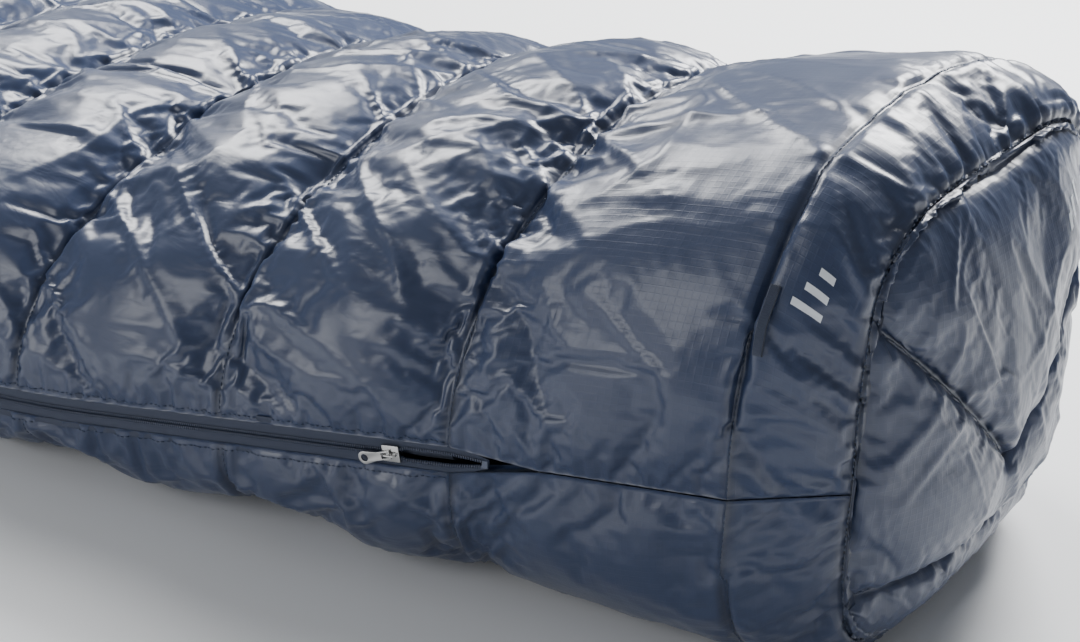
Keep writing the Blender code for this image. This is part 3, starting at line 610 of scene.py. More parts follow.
class NodeKit:
    """Shader node groups that several finishes share, each built once."""

    def __init__(self) -> None:
        """Starts with no groups."""
        self.groups: dict[str, bpy.types.NodeTree] = {}

    def group(self, name: str, inputs: Sequence[tuple[str, float]],
              outputs: Sequence[str], wire: Callable) -> bpy.types.NodeTree:
        """Returns a group of the given name, and builds it the first time.

        Args:
            name: The group's name.
            inputs: Names and defaults of its number inputs. It also has a Vector input.
            outputs: Names of its number outputs.
            wire: Called with (tree, group input, group output) to make the nodes.

        Returns:
            The node tree.
        """
        if name not in self.groups:
            tree = bpy.data.node_groups.new(name, "ShaderNodeTree")
            tree.interface.new_socket("Vector", in_out="INPUT", socket_type="NodeSocketVector")
            for label, value in inputs:
                socket = tree.interface.new_socket(label, in_out="INPUT", socket_type="NodeSocketFloat")
                socket.default_value = value
            for label in outputs:
                tree.interface.new_socket(label, in_out="OUTPUT", socket_type="NodeSocketFloat")
            entry = tree.nodes.new("NodeGroupInput")
            leave = tree.nodes.new("NodeGroupOutput")
            wire(tree, entry, leave)
            self.groups[name] = tree
        return self.groups[name]

    def weave(self) -> bpy.types.NodeTree:
        """Woven cloth: fine threads, and a grid of thicker reinforcing threads."""

        def wire(tree: bpy.types.NodeTree, entry: bpy.types.Node, leave: bpy.types.Node) -> None:
            """Threads are ridges of a sine across each direction; the grid keeps only the peaks."""
            split = tree.nodes.new("ShaderNodeSeparateXYZ")
            tree.links.new(entry.outputs["Vector"], split.inputs[0])
            threads, grids = [], []
            for axis in ("X", "Y"):
                for pitch, store in (("Thread", threads), ("Grid", grids)):
                    ratio = math_node(tree, "DIVIDE", split.outputs[axis], entry.outputs[pitch])
                    turn = math_node(tree, "MULTIPLY", ratio, 2 * math.pi)
                    wave = math_node(tree, "SINE", turn)
                    store.append(math_node(tree, "MULTIPLY_ADD", wave, 0.5, 0.5))
            fine = math_node(tree, "MULTIPLY", threads[0], threads[1])
            peaks = [math_node(tree, "POWER", wave, 24.0) for wave in grids]
            grid = math_node(tree, "MAXIMUM", peaks[0], peaks[1])
            tree.links.new(fine, leave.inputs["Threads"])
            tree.links.new(grid, leave.inputs["Lines"])

        inputs = (("Thread", 0.7 * MM), ("Grid", 4.2 * MM))
        return self.group("weave", inputs, ("Threads", "Lines"), wire)

    def crumple(self) -> bpy.types.NodeTree:
        """Soft creases of thin cloth and slow changes of its colour."""

        def wire(tree: bpy.types.NodeTree, entry: bpy.types.Node, leave: bpy.types.Node) -> None:
            """A stretched noise makes the creases and a slow one the drift."""
            stretch = tree.nodes.new("ShaderNodeMapping")
            stretch.inputs["Scale"].default_value = (1.0, 0.35, 1.0)
            tree.links.new(entry.outputs["Vector"], stretch.inputs["Vector"])
            creases = tree.nodes.new("ShaderNodeTexNoise")
            creases.inputs["Detail"].default_value = 3.0
            creases.inputs["Distortion"].default_value = 0.7
            tree.links.new(stretch.outputs[0], creases.inputs["Vector"])
            tree.links.new(entry.outputs["Scale"], creases.inputs["Scale"])
            drift = tree.nodes.new("ShaderNodeTexNoise")
            drift.inputs["Scale"].default_value = 9.0
            drift.inputs["Detail"].default_value = 2.0
            tree.links.new(entry.outputs["Vector"], drift.inputs["Vector"])
            folded = math_node(tree, "SUBTRACT", creases.outputs[0], 0.5)
            folded = math_node(tree, "ABSOLUTE", folded)
            tree.links.new(folded, leave.inputs["Creases"])
            tree.links.new(drift.outputs[0], leave.inputs["Drift"])

        return self.group("crumple", (("Scale", 70.0),), ("Creases", "Drift"), wire)


def math_node(tree: bpy.types.NodeTree, operation: str, *values: object) -> bpy.types.NodeSocket:
    """Adds a Math node and returns its output.

    Args:
        tree: The tree it goes into.
        operation: The Math operation's name.
        values: A number or an output socket for each input in turn.

    Returns:
        The node's output socket.
    """
    node = tree.nodes.new("ShaderNodeMath")
    node.operation = operation
    for socket, value in zip(node.inputs, values):
        if isinstance(value, (int, float)):
            socket.default_value = value
        else:
            tree.links.new(value, socket)
    return node.outputs[0]


def place_group(tree: bpy.types.NodeTree, group: bpy.types.NodeTree,
                vector: bpy.types.NodeSocket, **values: float) -> bpy.types.Node:
    """Places a group in a material, reading a vector and with its own numbers."""
    node = tree.nodes.new("ShaderNodeGroup")
    node.node_tree = group
    tree.links.new(vector, node.inputs["Vector"])
    for label, value in values.items():
        node.inputs[label].default_value = value
    return node


def mix_colour(tree: bpy.types.NodeTree, share: bpy.types.NodeSocket,
               first: object, second: object) -> bpy.types.NodeSocket:
    """Mixes two colours, each a tuple or a socket, by a share, and returns the result."""
    node = tree.nodes.new("ShaderNodeMix")
    node.data_type = "RGBA"
    tree.links.new(share, node.inputs["Factor"])
    for label, value in (("A", first), ("B", second)):
        socket = [s for s in node.inputs if s.name == label and s.type == "RGBA"][0]
        if isinstance(value, tuple):
            socket.default_value = (*value, 1.0)
        else:
            tree.links.new(value, socket)
    return [s for s in node.outputs if s.type == "RGBA"][0]


def blank_material(name: str) -> tuple[bpy.types.Material, bpy.types.NodeTree, bpy.types.Node]:
    """A new node material, its tree and its Principled shader."""
    material = bpy.data.materials.new(name)
    material.use_nodes = True
    tree = material.node_tree
    return material, tree, tree.nodes["Principled BSDF"]


@dataclass(frozen=True)
class ShinyCloth:
    """Calendered nylon: a glossy weave with soft creases, and painted shade along its seams."""

    name: str
    deep: tuple[float, float, float]
    pale: tuple[float, float, float]
    roughness: float
    weave: Weave
    crease: float
    thread: float = 0.55 * MM
    grid_height: float = 0.045 * MM
    coat: float = 0.28
    sheen: float = 0.05

    def make(self, kit: NodeKit) -> bpy.types.Material:
        """Builds the material over the cloth's own UV map."""
        material, tree, shader = blank_material(self.name)
        uv = tree.nodes.new("ShaderNodeUVMap")
        uv.uv_map = "cloth"
        seam = tree.nodes.new("ShaderNodeAttribute")
        seam.attribute_name = "seam"
        threads = place_group(tree, kit.weave(), uv.outputs[0], Thread=self.thread,
                              Grid=self.weave.value or Weave.RIPSTOP.value)
        folds = place_group(tree, kit.crumple(), uv.outputs[0], Scale=55.0)
        base = mix_colour(tree, folds.outputs["Drift"], self.deep, self.pale)
        # Painted shade: the colour darkens by up to 35 percent within 6 mm of each seam, as if its groove
        # were in shade.
        wide = math_node(tree, "DIVIDE", seam.outputs["Fac"], 6 * MM)
        edge = math_node(tree, "MINIMUM", wide, 1.0)
        shade = math_node(tree, "MULTIPLY_ADD", edge, 0.35, 0.65)
        lines = math_node(tree, "MULTIPLY", threads.outputs["Lines"], 0.06 if self.weave.value else 0.0)
        # The painted seam shade, lightened a little along the ripstop grid lines, sets the colour's value.
        lift = math_node(tree, "ADD", shade, lines)
        tint = tree.nodes.new("ShaderNodeHueSaturation")
        tree.links.new(base, tint.inputs["Color"])
        tree.links.new(lift, tint.inputs["Value"])
        tree.links.new(tint.outputs[0], shader.inputs["Base Color"])
        worn = math_node(tree, "MULTIPLY_ADD", folds.outputs["Drift"], 0.16, self.roughness - 0.08)
        tree.links.new(worn, shader.inputs["Roughness"])
        height = math_node(tree, "MULTIPLY", folds.outputs["Creases"], self.crease)
        grid = math_node(tree, "MULTIPLY", threads.outputs["Lines"],
                         self.grid_height if self.weave.value else 0.0)
        fine = math_node(tree, "MULTIPLY", threads.outputs["Threads"], 0.02 * MM)
        total = math_node(tree, "ADD", math_node(tree, "ADD", height, grid), fine)
        bump = tree.nodes.new("ShaderNodeBump")
        bump.inputs["Distance"].default_value = 1.0
        bump.inputs["Strength"].default_value = 1.0
        tree.links.new(total, bump.inputs["Height"])
        tree.links.new(bump.outputs[0], shader.inputs["Normal"])
        shader.inputs["Coat Weight"].default_value = self.coat
        shader.inputs["Coat Roughness"].default_value = 0.22
        shader.inputs["Sheen Weight"].default_value = self.sheen
        shader.inputs["Sheen Roughness"].default_value = 0.45
        shader.inputs["Sheen Tint"].default_value = (0.75, 0.85, 1.0, 1.0)
        shader.inputs["Specular IOR Level"].default_value = 0.6
        return material


@dataclass(frozen=True)
class PlainFinish:
    """A finish with slow colour drift and fine grain: metal, thread, ink, coil or binding."""

    name: str
    deep: tuple[float, float, float]
    pale: tuple[float, float, float]
    roughness: float
    metallic: float = 0.0
    grain: float = 0.05 * MM
    scale: float = 900.0
    coat: float = 0.0

    def make(self, kit: NodeKit) -> bpy.types.Material:
        """Builds the material over Object coordinates."""
        material, tree, shader = blank_material(self.name)
        place = tree.nodes.new("ShaderNodeTexCoord")
        folds = place_group(tree, kit.crumple(), place.outputs["Object"], Scale=self.scale)
        base = mix_colour(tree, folds.outputs["Drift"], self.deep, self.pale)
        tree.links.new(base, shader.inputs["Base Color"])
        rough = math_node(tree, "MULTIPLY_ADD", folds.outputs["Creases"], 0.35, self.roughness)
        tree.links.new(rough, shader.inputs["Roughness"])
        shader.inputs["Metallic"].default_value = self.metallic
        shader.inputs["Coat Weight"].default_value = self.coat
        bump = tree.nodes.new("ShaderNodeBump")
        bump.inputs["Distance"].default_value = 1.0
        height = math_node(tree, "MULTIPLY", folds.outputs["Creases"], self.grain)
        tree.links.new(height, bump.inputs["Height"])
        tree.links.new(bump.outputs[0], shader.inputs["Normal"])
        return material


@dataclass(frozen=True)
class TapeWeave:
    """Herringbone tape: slanted ribs that change direction from band to band."""

    name: str
    deep: tuple[float, float, float]
    pale: tuple[float, float, float]
    rib: float = 1.3 * MM
    band: float = 5.0 * MM

    def make(self, kit: NodeKit) -> bpy.types.Material:
        """Builds the material over the tape's UV map, u across it and v along it."""
        material, tree, shader = blank_material(self.name)
        uv = tree.nodes.new("ShaderNodeUVMap")
        uv.uv_map = "cloth"
        split = tree.nodes.new("ShaderNodeSeparateXYZ")
        tree.links.new(uv.outputs[0], split.inputs[0])
        across = math_node(tree, "PINGPONG", split.outputs["X"], self.band / 2)
        slant = math_node(tree, "ADD", split.outputs["Y"], across)
        turn = math_node(tree, "MULTIPLY", slant, 2 * math.pi / self.rib)
        ribs = math_node(tree, "MULTIPLY_ADD", math_node(tree, "SINE", turn), 0.5, 0.5)
        base = mix_colour(tree, ribs, self.deep, self.pale)
        tree.links.new(base, shader.inputs["Base Color"])
        threads = place_group(tree, kit.weave(), uv.outputs[0], Thread=0.5 * MM)
        fine = math_node(tree, "MULTIPLY", threads.outputs["Threads"], 0.04 * MM)
        height = math_node(tree, "MULTIPLY_ADD", ribs, 0.16 * MM, fine)
        bump = tree.nodes.new("ShaderNodeBump")
        bump.inputs["Distance"].default_value = 1.0
        tree.links.new(height, bump.inputs["Height"])
        tree.links.new(bump.outputs[0], shader.inputs["Normal"])
        shader.inputs["Roughness"].default_value = 0.62
        shader.inputs["Sheen Weight"].default_value = 0.15
        return material


def mesh_piece(name: str, points: np.ndarray, faces: list, finish: bpy.types.Material,
               smooth: float = 40.0) -> bpy.types.Object:
    """A piece from points and faces, with its finish, smooth but for its sharp edges."""
    mesh = bpy.data.meshes.new(name)
    mesh.from_pydata(np.asarray(points).reshape(-1, 3).tolist(), [], faces)
    mesh.materials.append(finish)
    shape = bmesh.new()
    shape.from_mesh(mesh)
    bmesh.ops.recalc_face_normals(shape, faces=shape.faces)
    shape.to_mesh(mesh)
    shape.free()
    mesh.shade_smooth()
    mesh.set_sharp_from_angle(angle=math.radians(smooth))
    return linked(name, mesh)


def swept(name: str, rings: np.ndarray, finish: bpy.types.Material,
          uv: Optional[np.ndarray] = None) -> bpy.types.Object:
    """A closed piece through rings of points, with a cap at each end.

    Args:
        name: The piece's name.
        rings: (rows, points round, 3) points.
        finish: Its material.
        uv: (rows, points round, 2) cloth coordinates, if its finish reads them.

    Returns:
        The piece.
    """
    rows, count = rings.shape[:2]
    index = np.arange(rows * count).reshape(rows, count)
    after = np.roll(index, -1, axis=1)
    quads = np.stack([index[:-1], after[:-1], after[1:], index[1:]], axis=-1).reshape(-1, 4)
    faces = quads.tolist() + [index[0].tolist(), index[-1][::-1].tolist()]
    piece = mesh_piece(name, rings, faces, finish)
    if uv is not None:
        paint_uv(piece.data, uv.reshape(-1, 2))
    return piece


def copies(name: str, points: np.ndarray, faces: list, frames: np.ndarray,
           finish: bpy.types.Material) -> bpy.types.Object:
    """Many copies of one small shape in one piece.

    Args:
        name: The piece's name.
        points: (count, 3) points of the shape.
        faces: Its faces.
        frames: (copies, 4, 3): the three axes and the place of each copy.
        finish: Its material.

    Returns:
        The piece.
    """
    placed = np.einsum("pk,nkj->npj", points, frames[:, :3]) + frames[:, 3][:, None]
    count = len(points)
    every = [[i + count * n for i in face] for n in range(len(frames)) for face in faces]
    mesh = bpy.data.meshes.new(name)
    mesh.from_pydata(placed.reshape(-1, 3).tolist(), [], every)
    mesh.materials.append(finish)
    mesh.shade_smooth()
    return linked(name, mesh)


@dataclass
class Stitching:
    """Rows of thread stitches that lie on the cloth."""

    finish: bpy.types.Material
    pitch: float = 4.0 * MM
    length: float = 2.7 * MM
    width: float = 0.55 * MM
    height: float = 0.7 * MM

    def shape(self) -> tuple[np.ndarray, list]:
        """One stitch: a low thread that dips into the cloth at both ends."""
        half, side = self.length / 2, self.width / 2
        rings = []
        for x, low, high in ((-half, -0.5, 0.1), (-half * 0.4, -0.3, 1.0),
                             (half * 0.4, -0.3, 1.0), (half, -0.5, 0.1)):
            corners = ((-side, low), (side, low), (side, high), (-side, high))
            rings += [(x, y, z * self.height) for y, z in corners]
        faces = [[3, 2, 1, 0], [12, 13, 14, 15]]
        for ring in range(3):
            for step in range(4):
                a, b = ring * 4 + step, ring * 4 + (step + 1) % 4
                faces.append([a, b, b + 4, a + 4])
        return np.array(rings), faces

    def frames(self, line: np.ndarray, normals: np.ndarray) -> np.ndarray:
        """Evenly spaced frames along a line on the cloth."""
        at = lengths_along(line)
        where = np.arange(self.pitch, at[-1] - self.pitch / 2, self.pitch)

        def read(values: np.ndarray, places: np.ndarray) -> np.ndarray:
            """Values along the line at some places."""
            return np.stack([np.interp(places, at, values[:, k]) for k in range(3)], axis=1)

        place = read(line, where)
        run = read(line, where + self.length / 2) - read(line, where - self.length / 2)
        run /= np.linalg.norm(run, axis=1, keepdims=True)
        up = read(normals, where)
        up -= run * (up * run).sum(axis=1, keepdims=True)
        up /= np.linalg.norm(up, axis=1, keepdims=True)
        return np.stack([run, np.cross(up, run), up, place], axis=1)

    def sew(self, name: str, lines: Iterable[tuple[np.ndarray, np.ndarray]]) -> bpy.types.Object:
        """One piece with a stitch row along every (line, normals) pair."""
        points, faces = self.shape()
        frames = np.concatenate([self.frames(*line) for line in lines])
        return copies(name, points, faces, frames, self.finish)


@dataclass
class EndPanel:
    """The bulging end panel: one inflated cloth, sewn across into three sections."""

    form: BagForm
    recipe: ClothRecipe
    columns: int = 96
    band_rows: tuple[int, int, int] = (18, 34, 44)
    low_seam: float = 66 * MM
    point_height: float = 118 * MM
    edge_height: float = 262 * MM
    room: float = 40 * MM
    dome_power: float = 2.2
    tuck: float = 9 * MM
    tuck_reach: float = 9 * MM
    padding: float = 20 * MM
    padding_gap: float = 1 * MM
    padding_size: float = 0.93
    corner: tuple[float, float] = (0.27, 0.24)
    seed: int = 91
    outer: Optional[Skin] = None
    inner: Optional[Skin] = None

    def boundary(self) -> tuple[np.ndarray, np.ndarray, np.ndarray, np.ndarray]:
        """The end seam's ring as four sides: bottom, top, near and far."""
        fine = 800
        zero = np.zeros(fine + 1)
        top = self.form.half_ring(0.0, Half.TOP, fine, zero)
        low = self.form.half_ring(0.0, Half.BOTTOM, fine, zero)
        a, b = int(self.corner[0] * fine), int(self.corner[1] * fine)
        near = np.concatenate([low[:b + 1][::-1], top[:a + 1]])
        far = np.concatenate([low[fine - b:], top[fine - a:][::-1]])
        return low[b:fine - b + 1], top[a:fine - a + 1], near, far

    @staticmethod
    def read(line: np.ndarray, share: np.ndarray) -> np.ndarray:
        """Points of a line at shares of its length."""
        at = lengths_along(line)
        return np.stack([np.interp(share * at[-1], at, line[:, k]) for k in range(3)], axis=-1)

    def patch(self, u: np.ndarray, v: np.ndarray) -> np.ndarray:
        """Points inside the ring for shares u across it and v up it."""
        bottom, top, near, far = self.boundary()
        low, high = self.read(bottom, u), self.read(top, u)
        left, right = self.read(near, v), self.read(far, v)
        a, b = u[..., None], v[..., None]
        flat = (1 - a) * (1 - b) * bottom[0] + a * (1 - b) * bottom[-1]
        flat = flat + (1 - a) * b * top[0] + a * b * top[-1]
        return (1 - b) * low + b * high + (1 - a) * left + a * right - flat

    def rows_up(self, u: np.ndarray) -> np.ndarray:
        """How far up each grid point lies, so that rows fall on the two seams across the panel.

        Args:
            u: The columns, as shares across the panel.

        Returns:
            (rows, columns) shares up the panel.
        """
        fine = np.linspace(0.0, 1.0, 241)
        shape = (len(fine), len(u))
        net = self.patch(np.broadcast_to(u, shape), np.broadcast_to(fine[:, None], shape))
        rise = self.edge_height - self.point_height
        v = np.empty((sum(self.band_rows) + 1, len(u)))
        for column in range(len(u)):
            y, z = net[:, column, 1], net[:, column, 2]
            slope = z - self.point_height - rise * np.abs(y) / self.form.end_half_width
            knots = [0.0, np.interp(self.low_seam, z, fine), np.interp(0.0, slope, fine), 1.0]
            spans = [np.linspace(knots[i], knots[i + 1], n, endpoint=False)
                     for i, n in enumerate(self.band_rows)]
            v[:, column] = np.concatenate([*spans, [1.0]])
        return v

    def nearness(self, grid: np.ndarray, lines: np.ndarray) -> np.ndarray:
        """How far each grid point is from the nearest sewn row or side."""
        near = np.full(grid.shape[:2], 1.0)
        for line in lines:
            near = np.minimum(near, np.linalg.norm(grid - grid[line], axis=2))
        for edge in (grid[:, :1, 1], grid[:, -1:, 1]):
            near = np.minimum(near, np.abs(grid[..., 1] - edge))
        return near

    def build(self) -> None:
        """Lays the grid on the seams, domes it, folds it, inflates it and adds fine puckers."""
        form = self.form
        u = np.linspace(0.0, 1.0, self.columns + 1)
        v = self.rows_up(u)
        grid = self.patch(np.broadcast_to(u, v.shape), v)
        lines = np.cumsum((0, *self.band_rows))
        near = self.nearness(grid, lines)
        share = self.share(grid)
        dome = self.room * (1.0 - share ** self.dome_power)
        tucked = self.tuck * np.exp(-((near / self.tuck_reach) ** 2)) * (share < 0.97)
        grid[..., 0] = form.end_x + dome - tucked
        uv = np.stack([grid[..., 1].copy(), grid[..., 2]], axis=-1)
        held = np.zeros(v.shape)
        held[lines] = 1.0
        held[:, [0, -1]] = 1.0
        grid[..., 0] += self.folds(uv, near) * np.clip((1 - share) / 0.06, 0.0, 1.0)
        moved = self.recipe.inflate("end_cloth", grid[:, ::-1], held[:, ::-1])[:, ::-1]
        fine, uv_fine = doubled(moved), doubled(uv)
        near_fine = doubled(near[..., None])[..., 0].clip(0.0)
        out = -normals_of(fine)
        fine = fine + out * self.puckers(uv_fine, near_fine)[..., None]
        fine[..., 2] = fine[..., 2].clip(FLOOR_CLEARANCE)
        self.outer = Skin(fine, uv_fine, near_fine)
        self.inner = Skin(self.padding_back(u, v, share), uv, near)

    def padding_back(self, u: np.ndarray, v: np.ndarray, share: np.ndarray) -> np.ndarray:
        """The inner face of the panel's padding, a little smaller than the end seam's ring."""
        form = self.form
        middle = np.array([0.0, 0.0, (form.top_heights[0] + form.end_low_height) / 2])
        back = self.patch(np.broadcast_to(u, v.shape), v)
        back = middle + (back - middle) * np.array([0.0, self.padding_size, self.padding_size])
        back[..., 0] = form.end_x - self.padding_gap - self.padding * (1.0 - share ** 2)
        return back

    def share(self, grid: np.ndarray) -> np.ndarray:
        """How far out each point lies: 0 in the middle and 1 on the end seam."""
        place = np.array([0.0])
        height = float(self.form.seam_height(place)[0])
        top = float(self.form.top_height(place)[0]) - height
        low = height - float(self.form.bottom_height(place)[0]) + self.form.floor_press
        y = np.abs(grid[..., 1]) / self.form.end_half_width
        high_power, low_power = self.form.top_powers[0], self.form.bottom_powers[0]
        up = ((grid[..., 2] - height).clip(0.0) / top) ** high_power
        down = ((height - grid[..., 2]).clip(0.0) / low) ** low_power
        upper = (y ** high_power + up) ** (1 / high_power)
        lower = (y ** low_power + down) ** (1 / low_power)
        return np.where(grid[..., 2] > height, upper, lower).clip(0.0, 1.0)

    def folds(self, uv: np.ndarray, near: np.ndarray) -> np.ndarray:
        """Long slack folds that run down and outwards."""
        u, v = uv[..., 0], uv[..., 1]
        slant = ridged(noise(u + 0.5 * v, v - 0.5 * u, 38 * MM, 120 * MM, self.seed), 3.0)
        cross = ridged(noise(u - 0.8 * v, v + 0.8 * u, 46 * MM, 110 * MM, self.seed + 1), 3.0)
        short = ridged(noise(u + v, u - v, 14 * MM, 14 * MM, self.seed + 2))
        height = 2.6 * MM * (slant + cross) + 2.4 * MM * short * np.exp(-near / (14 * MM))
        return height * np.clip(near / (8 * MM), 0.0, 1.0)

    def puckers(self, uv: np.ndarray, near: np.ndarray) -> np.ndarray:
        """Fine puckers by the seams, and the groove that the thread pulls."""
        u, v = uv[..., 0], uv[..., 1]
        fine = ridged(noise(u + 0.3 * v, v, 7 * MM, 24 * MM, self.seed + 3))
        height = 2.0 * MM * fine * np.exp(-near / (12 * MM)) * np.clip(near / (3 * MM), 0.15, 1.0)
        soft = ridged(noise(u + v, v - u, 16 * MM, 40 * MM, self.seed + 4), 3.0)
        height += 0.3 * MM * soft * np.clip(near / (12 * MM), 0.0, 1.0)
        return height - 1.6 * MM * np.exp(-((near / (3 * MM)) ** 2))

    def section(self, name: str, number: int, cloth: bpy.types.Material,
                lining: bpy.types.Material) -> bpy.types.Object:
        """One closed section of the panel, counted from the floor up."""
        lines = np.cumsum((0, *self.band_rows))
        start, end = int(lines[number]), int(lines[number + 1])
        outer = self.outer.part(slice(2 * start, 2 * end + 1))
        inner = self.inner.part(slice(start, end + 1))
        piece = closed_piece(name, outer, inner, cloth, lining, True)
        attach(piece, BASE)
        return piece

    def seam_lines(self) -> list[tuple[np.ndarray, np.ndarray]]:
        """The two seams across the panel, each as its points and its normals."""
        out = -normals_of(self.outer.shape)
        rows = [2 * int(row) for row in np.cumsum(self.band_rows)[:2]]
        return [(self.outer.shape[row], out[row]) for row in rows]


@dataclass
class Zip:
    """The side zip: two tapes, two rows of coil, stops, draft tube, sliders and pull tabs."""

    form: BagForm
    foot_end: float = 205 * MM
    setback: float = 0.8 * MM
    thickness: float = 0.6 * MM
    coil_width: float = 2.45 * MM
    coil_half: float = 1.3 * MM
    wire: float = 0.42 * MM
    pitch: float = 1.6 * MM
    split: float = 0.15 * MM
    open: float = 3.0 * MM
    lower_slider: float = 270 * MM
    slider_length: float = 12 * MM
    stop: float = 4 * MM
    stop_clearance: float = 2 * MM
    mouth_reach: float = 3.2 * MM
    mouth_depth: float = 1.6 * MM
    mouth_gap: float = 1.1 * MM
    tape_start: float = 1.1 * MM
    tape_heights: tuple[float, float, float] = (3.2 * MM, 12 * MM, 14 * MM)
    tape_full: float = 300 * MM
    tube: float = 7 * MM
    tube_inset: float = 11.1 * MM
    tube_rise: float = 1.2 * MM

    def opening(self, along: np.ndarray) -> np.ndarray:
        """Half the gap between the two rows of coil."""
        half, neck = self.slider_length / 2, self.form.neck
        upper = neck - half - self.stop - self.stop_clearance
        places = (self.foot_end, self.form.first_seam, self.lower_slider - half - self.mouth_reach,
                  self.lower_slider - half + self.mouth_depth, self.lower_slider, upper,
                  upper + half - self.mouth_depth, neck)
        values = (self.split, self.open, self.open, self.mouth_gap, self.split, self.split,
                  self.mouth_gap, self.open / 2)
        return np.interp(along, places, values)

    def line(self, along: np.ndarray) -> tuple[np.ndarray, np.ndarray, np.ndarray]:
        """Points of the zip's middle line, with the directions along and out of it."""

        def point(places: np.ndarray) -> np.ndarray:
            """The line's point at each place."""
            y = self.setback - self.form.half_width(places)
            return np.stack([self.form.end_x - places, y, self.form.seam_height(places)], axis=-1)

        run = point(along + 1 * MM) - point(along - 1 * MM)
        run /= np.linalg.norm(run, axis=1, keepdims=True)
        out = np.cross(run, (0.0, 0.0, 1.0))
        out /= np.linalg.norm(out, axis=1, keepdims=True)
        out *= -np.sign(out[:, 1:2])
        return point(along), run, out

    def tape(self, name: str, side: int, finish: bpy.types.Material) -> bpy.types.Object:
        """One tape, whose inner edge is bound round the coil and whose outer edge is sewn in."""
        along = np.linspace(self.foot_end, self.form.neck - 0.15 * MM, 560)
        middle, _, out = self.line(along)
        low = self.opening(along) + self.tape_start
        high = np.interp(along, (self.foot_end, self.form.first_seam, self.tape_full), self.tape_heights)
        shares = np.array([0.0, 0.2, 0.4, 0.6, 0.8, 1.0])
        rings, uv = [], []
        for index in range(len(along)):
            height = low[index] + (high[index] - low[index]) * shares
            wave = 0.25 * MM * math.sin(along[index] / (9 * MM)) * shares
            front = [middle[index] + out[index] * (self.thickness / 2 + w) + (0, 0, side * h)
                     for h, w in zip(height, wave)]
            back = [middle[index] + out[index] * (w - self.thickness / 2) + (0, 0, side * h)
                    for h, w in zip(height, wave)]
            rings.append(front + back[::-1])
            uv.append([(h, along[index]) for h in [*height, *height[::-1]]])
        return swept(name, np.array(rings), finish, np.array(uv))

    def hairpin(self) -> tuple[np.ndarray, list]:
        """One turn of the coil: a bent wire whose head is towards the other row."""
        reach, half = self.coil_width, self.coil_half - self.wire
        bend, head = 0.6 * MM, self.wire + 0.02 * MM
        path = [(reach, -half), (bend, -half), (head, 0.0), (bend, half), (reach, half)]
        points, sides = [], 6
        for number, (z, y) in enumerate(path):
            before = path[max(number - 1, 0)]
            after = path[min(number + 1, len(path) - 1)]
            run = Vector((0.0, after[1] - before[1], after[0] - before[0])).normalized()
            side = Vector((1.0, 0.0, 0.0))
            up = run.cross(side)
            for step in range(sides):
                turn = 2 * math.pi * step / sides
                offset = (side * math.cos(turn) * 1.15 + up * math.sin(turn)) * self.wire
                points.append(Vector((0.0, y, z)) + offset)
        faces = [list(range(sides))[::-1], [len(points) - sides + i for i in range(sides)]]
        for ring in range(len(path) - 1):
            for step in range(sides):
                a, b = ring * sides + step, ring * sides + (step + 1) % sides
                faces.append([a, b, b + sides, a + sides])
        return np.array([tuple(p) for p in points]), faces

    def coil(self, name: str, side: int, finish: bpy.types.Material) -> bpy.types.Object:
        """One row of coil along the whole zip."""
        start = self.foot_end + self.stop + (self.pitch / 2 if side > 0 else 0.0)
        along = np.arange(start, self.form.neck - self.stop - 0.5 * MM, self.pitch)
        middle, run, out = self.line(along)
        up = np.zeros_like(run)
        up[:, 2] = side
        place = middle + up * self.opening(along)[:, None]
        points, faces = self.hairpin()
        if side * float(np.cross(run[0], out[0])[2]) < 0:
            faces = [face[::-1] for face in faces]
        return copies(name, points, faces, np.stack([run, out, up, place], axis=1), finish)

    def draft_tube(self, name: str, finish: bpy.types.Material) -> bpy.types.Object:
        """The soft tube behind the zip, a little lumpy."""
        along = np.linspace(self.form.first_seam + 1 * MM, self.form.neck - 1 * MM, 400)
        middle, _, _ = self.line(along)
        middle[:, 1] += self.tube_inset - self.setback
        middle[:, 2] += self.tube_rise
        angles = np.linspace(0.0, 2 * math.pi, 16, endpoint=False)
        turn = np.stack([np.zeros(16), np.cos(angles), np.sin(angles)], axis=1)
        lumps = noise(along, along, 14 * MM, 14 * MM, 5)
        radius = self.tube * (0.93 + 0.05 * lumps)
        rings = middle[:, None] + turn[None] * radius[:, None, None]
        uv = np.stack(np.broadcast_arrays(angles[None] * self.tube, along[:, None]), axis=-1)
        return swept(name, rings, finish, uv)

    def metal_piece(self, node: str, body: str, bevel: float, finish: bpy.types.Material) -> bpy.types.Object:
        """A rounded copy of a packed metal piece, which stands for it."""
        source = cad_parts[node]
        mesh = source.data.copy()
        shape = bmesh.new()
        shape.from_mesh(mesh)
        bmesh.ops.remove_doubles(shape, verts=shape.verts, dist=0.005 * MM)
        bmesh.ops.dissolve_limit(shape, angle_limit=math.radians(2), verts=shape.verts, edges=shape.edges)
        shape.to_mesh(mesh)
        shape.free()
        mesh.materials.clear()
        mesh.materials.append(finish)
        item = linked(f"{node}_cast", mesh)
        bpy.ops.object.select_all(action="DESELECT")
        bpy.context.view_layer.objects.active = item
        item.select_set(True)
        edge = item.modifiers.new("rounded", "BEVEL")
        edge.width = bevel
        edge.segments = 3
        edge.limit_method = "ANGLE"
        edge.angle_limit = math.radians(30)
        bpy.ops.object.modifier_apply(modifier="rounded")
        bpy.ops.object.shade_smooth_by_angle(angle=math.radians(35))
        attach(item, body)
        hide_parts(node)
        return item


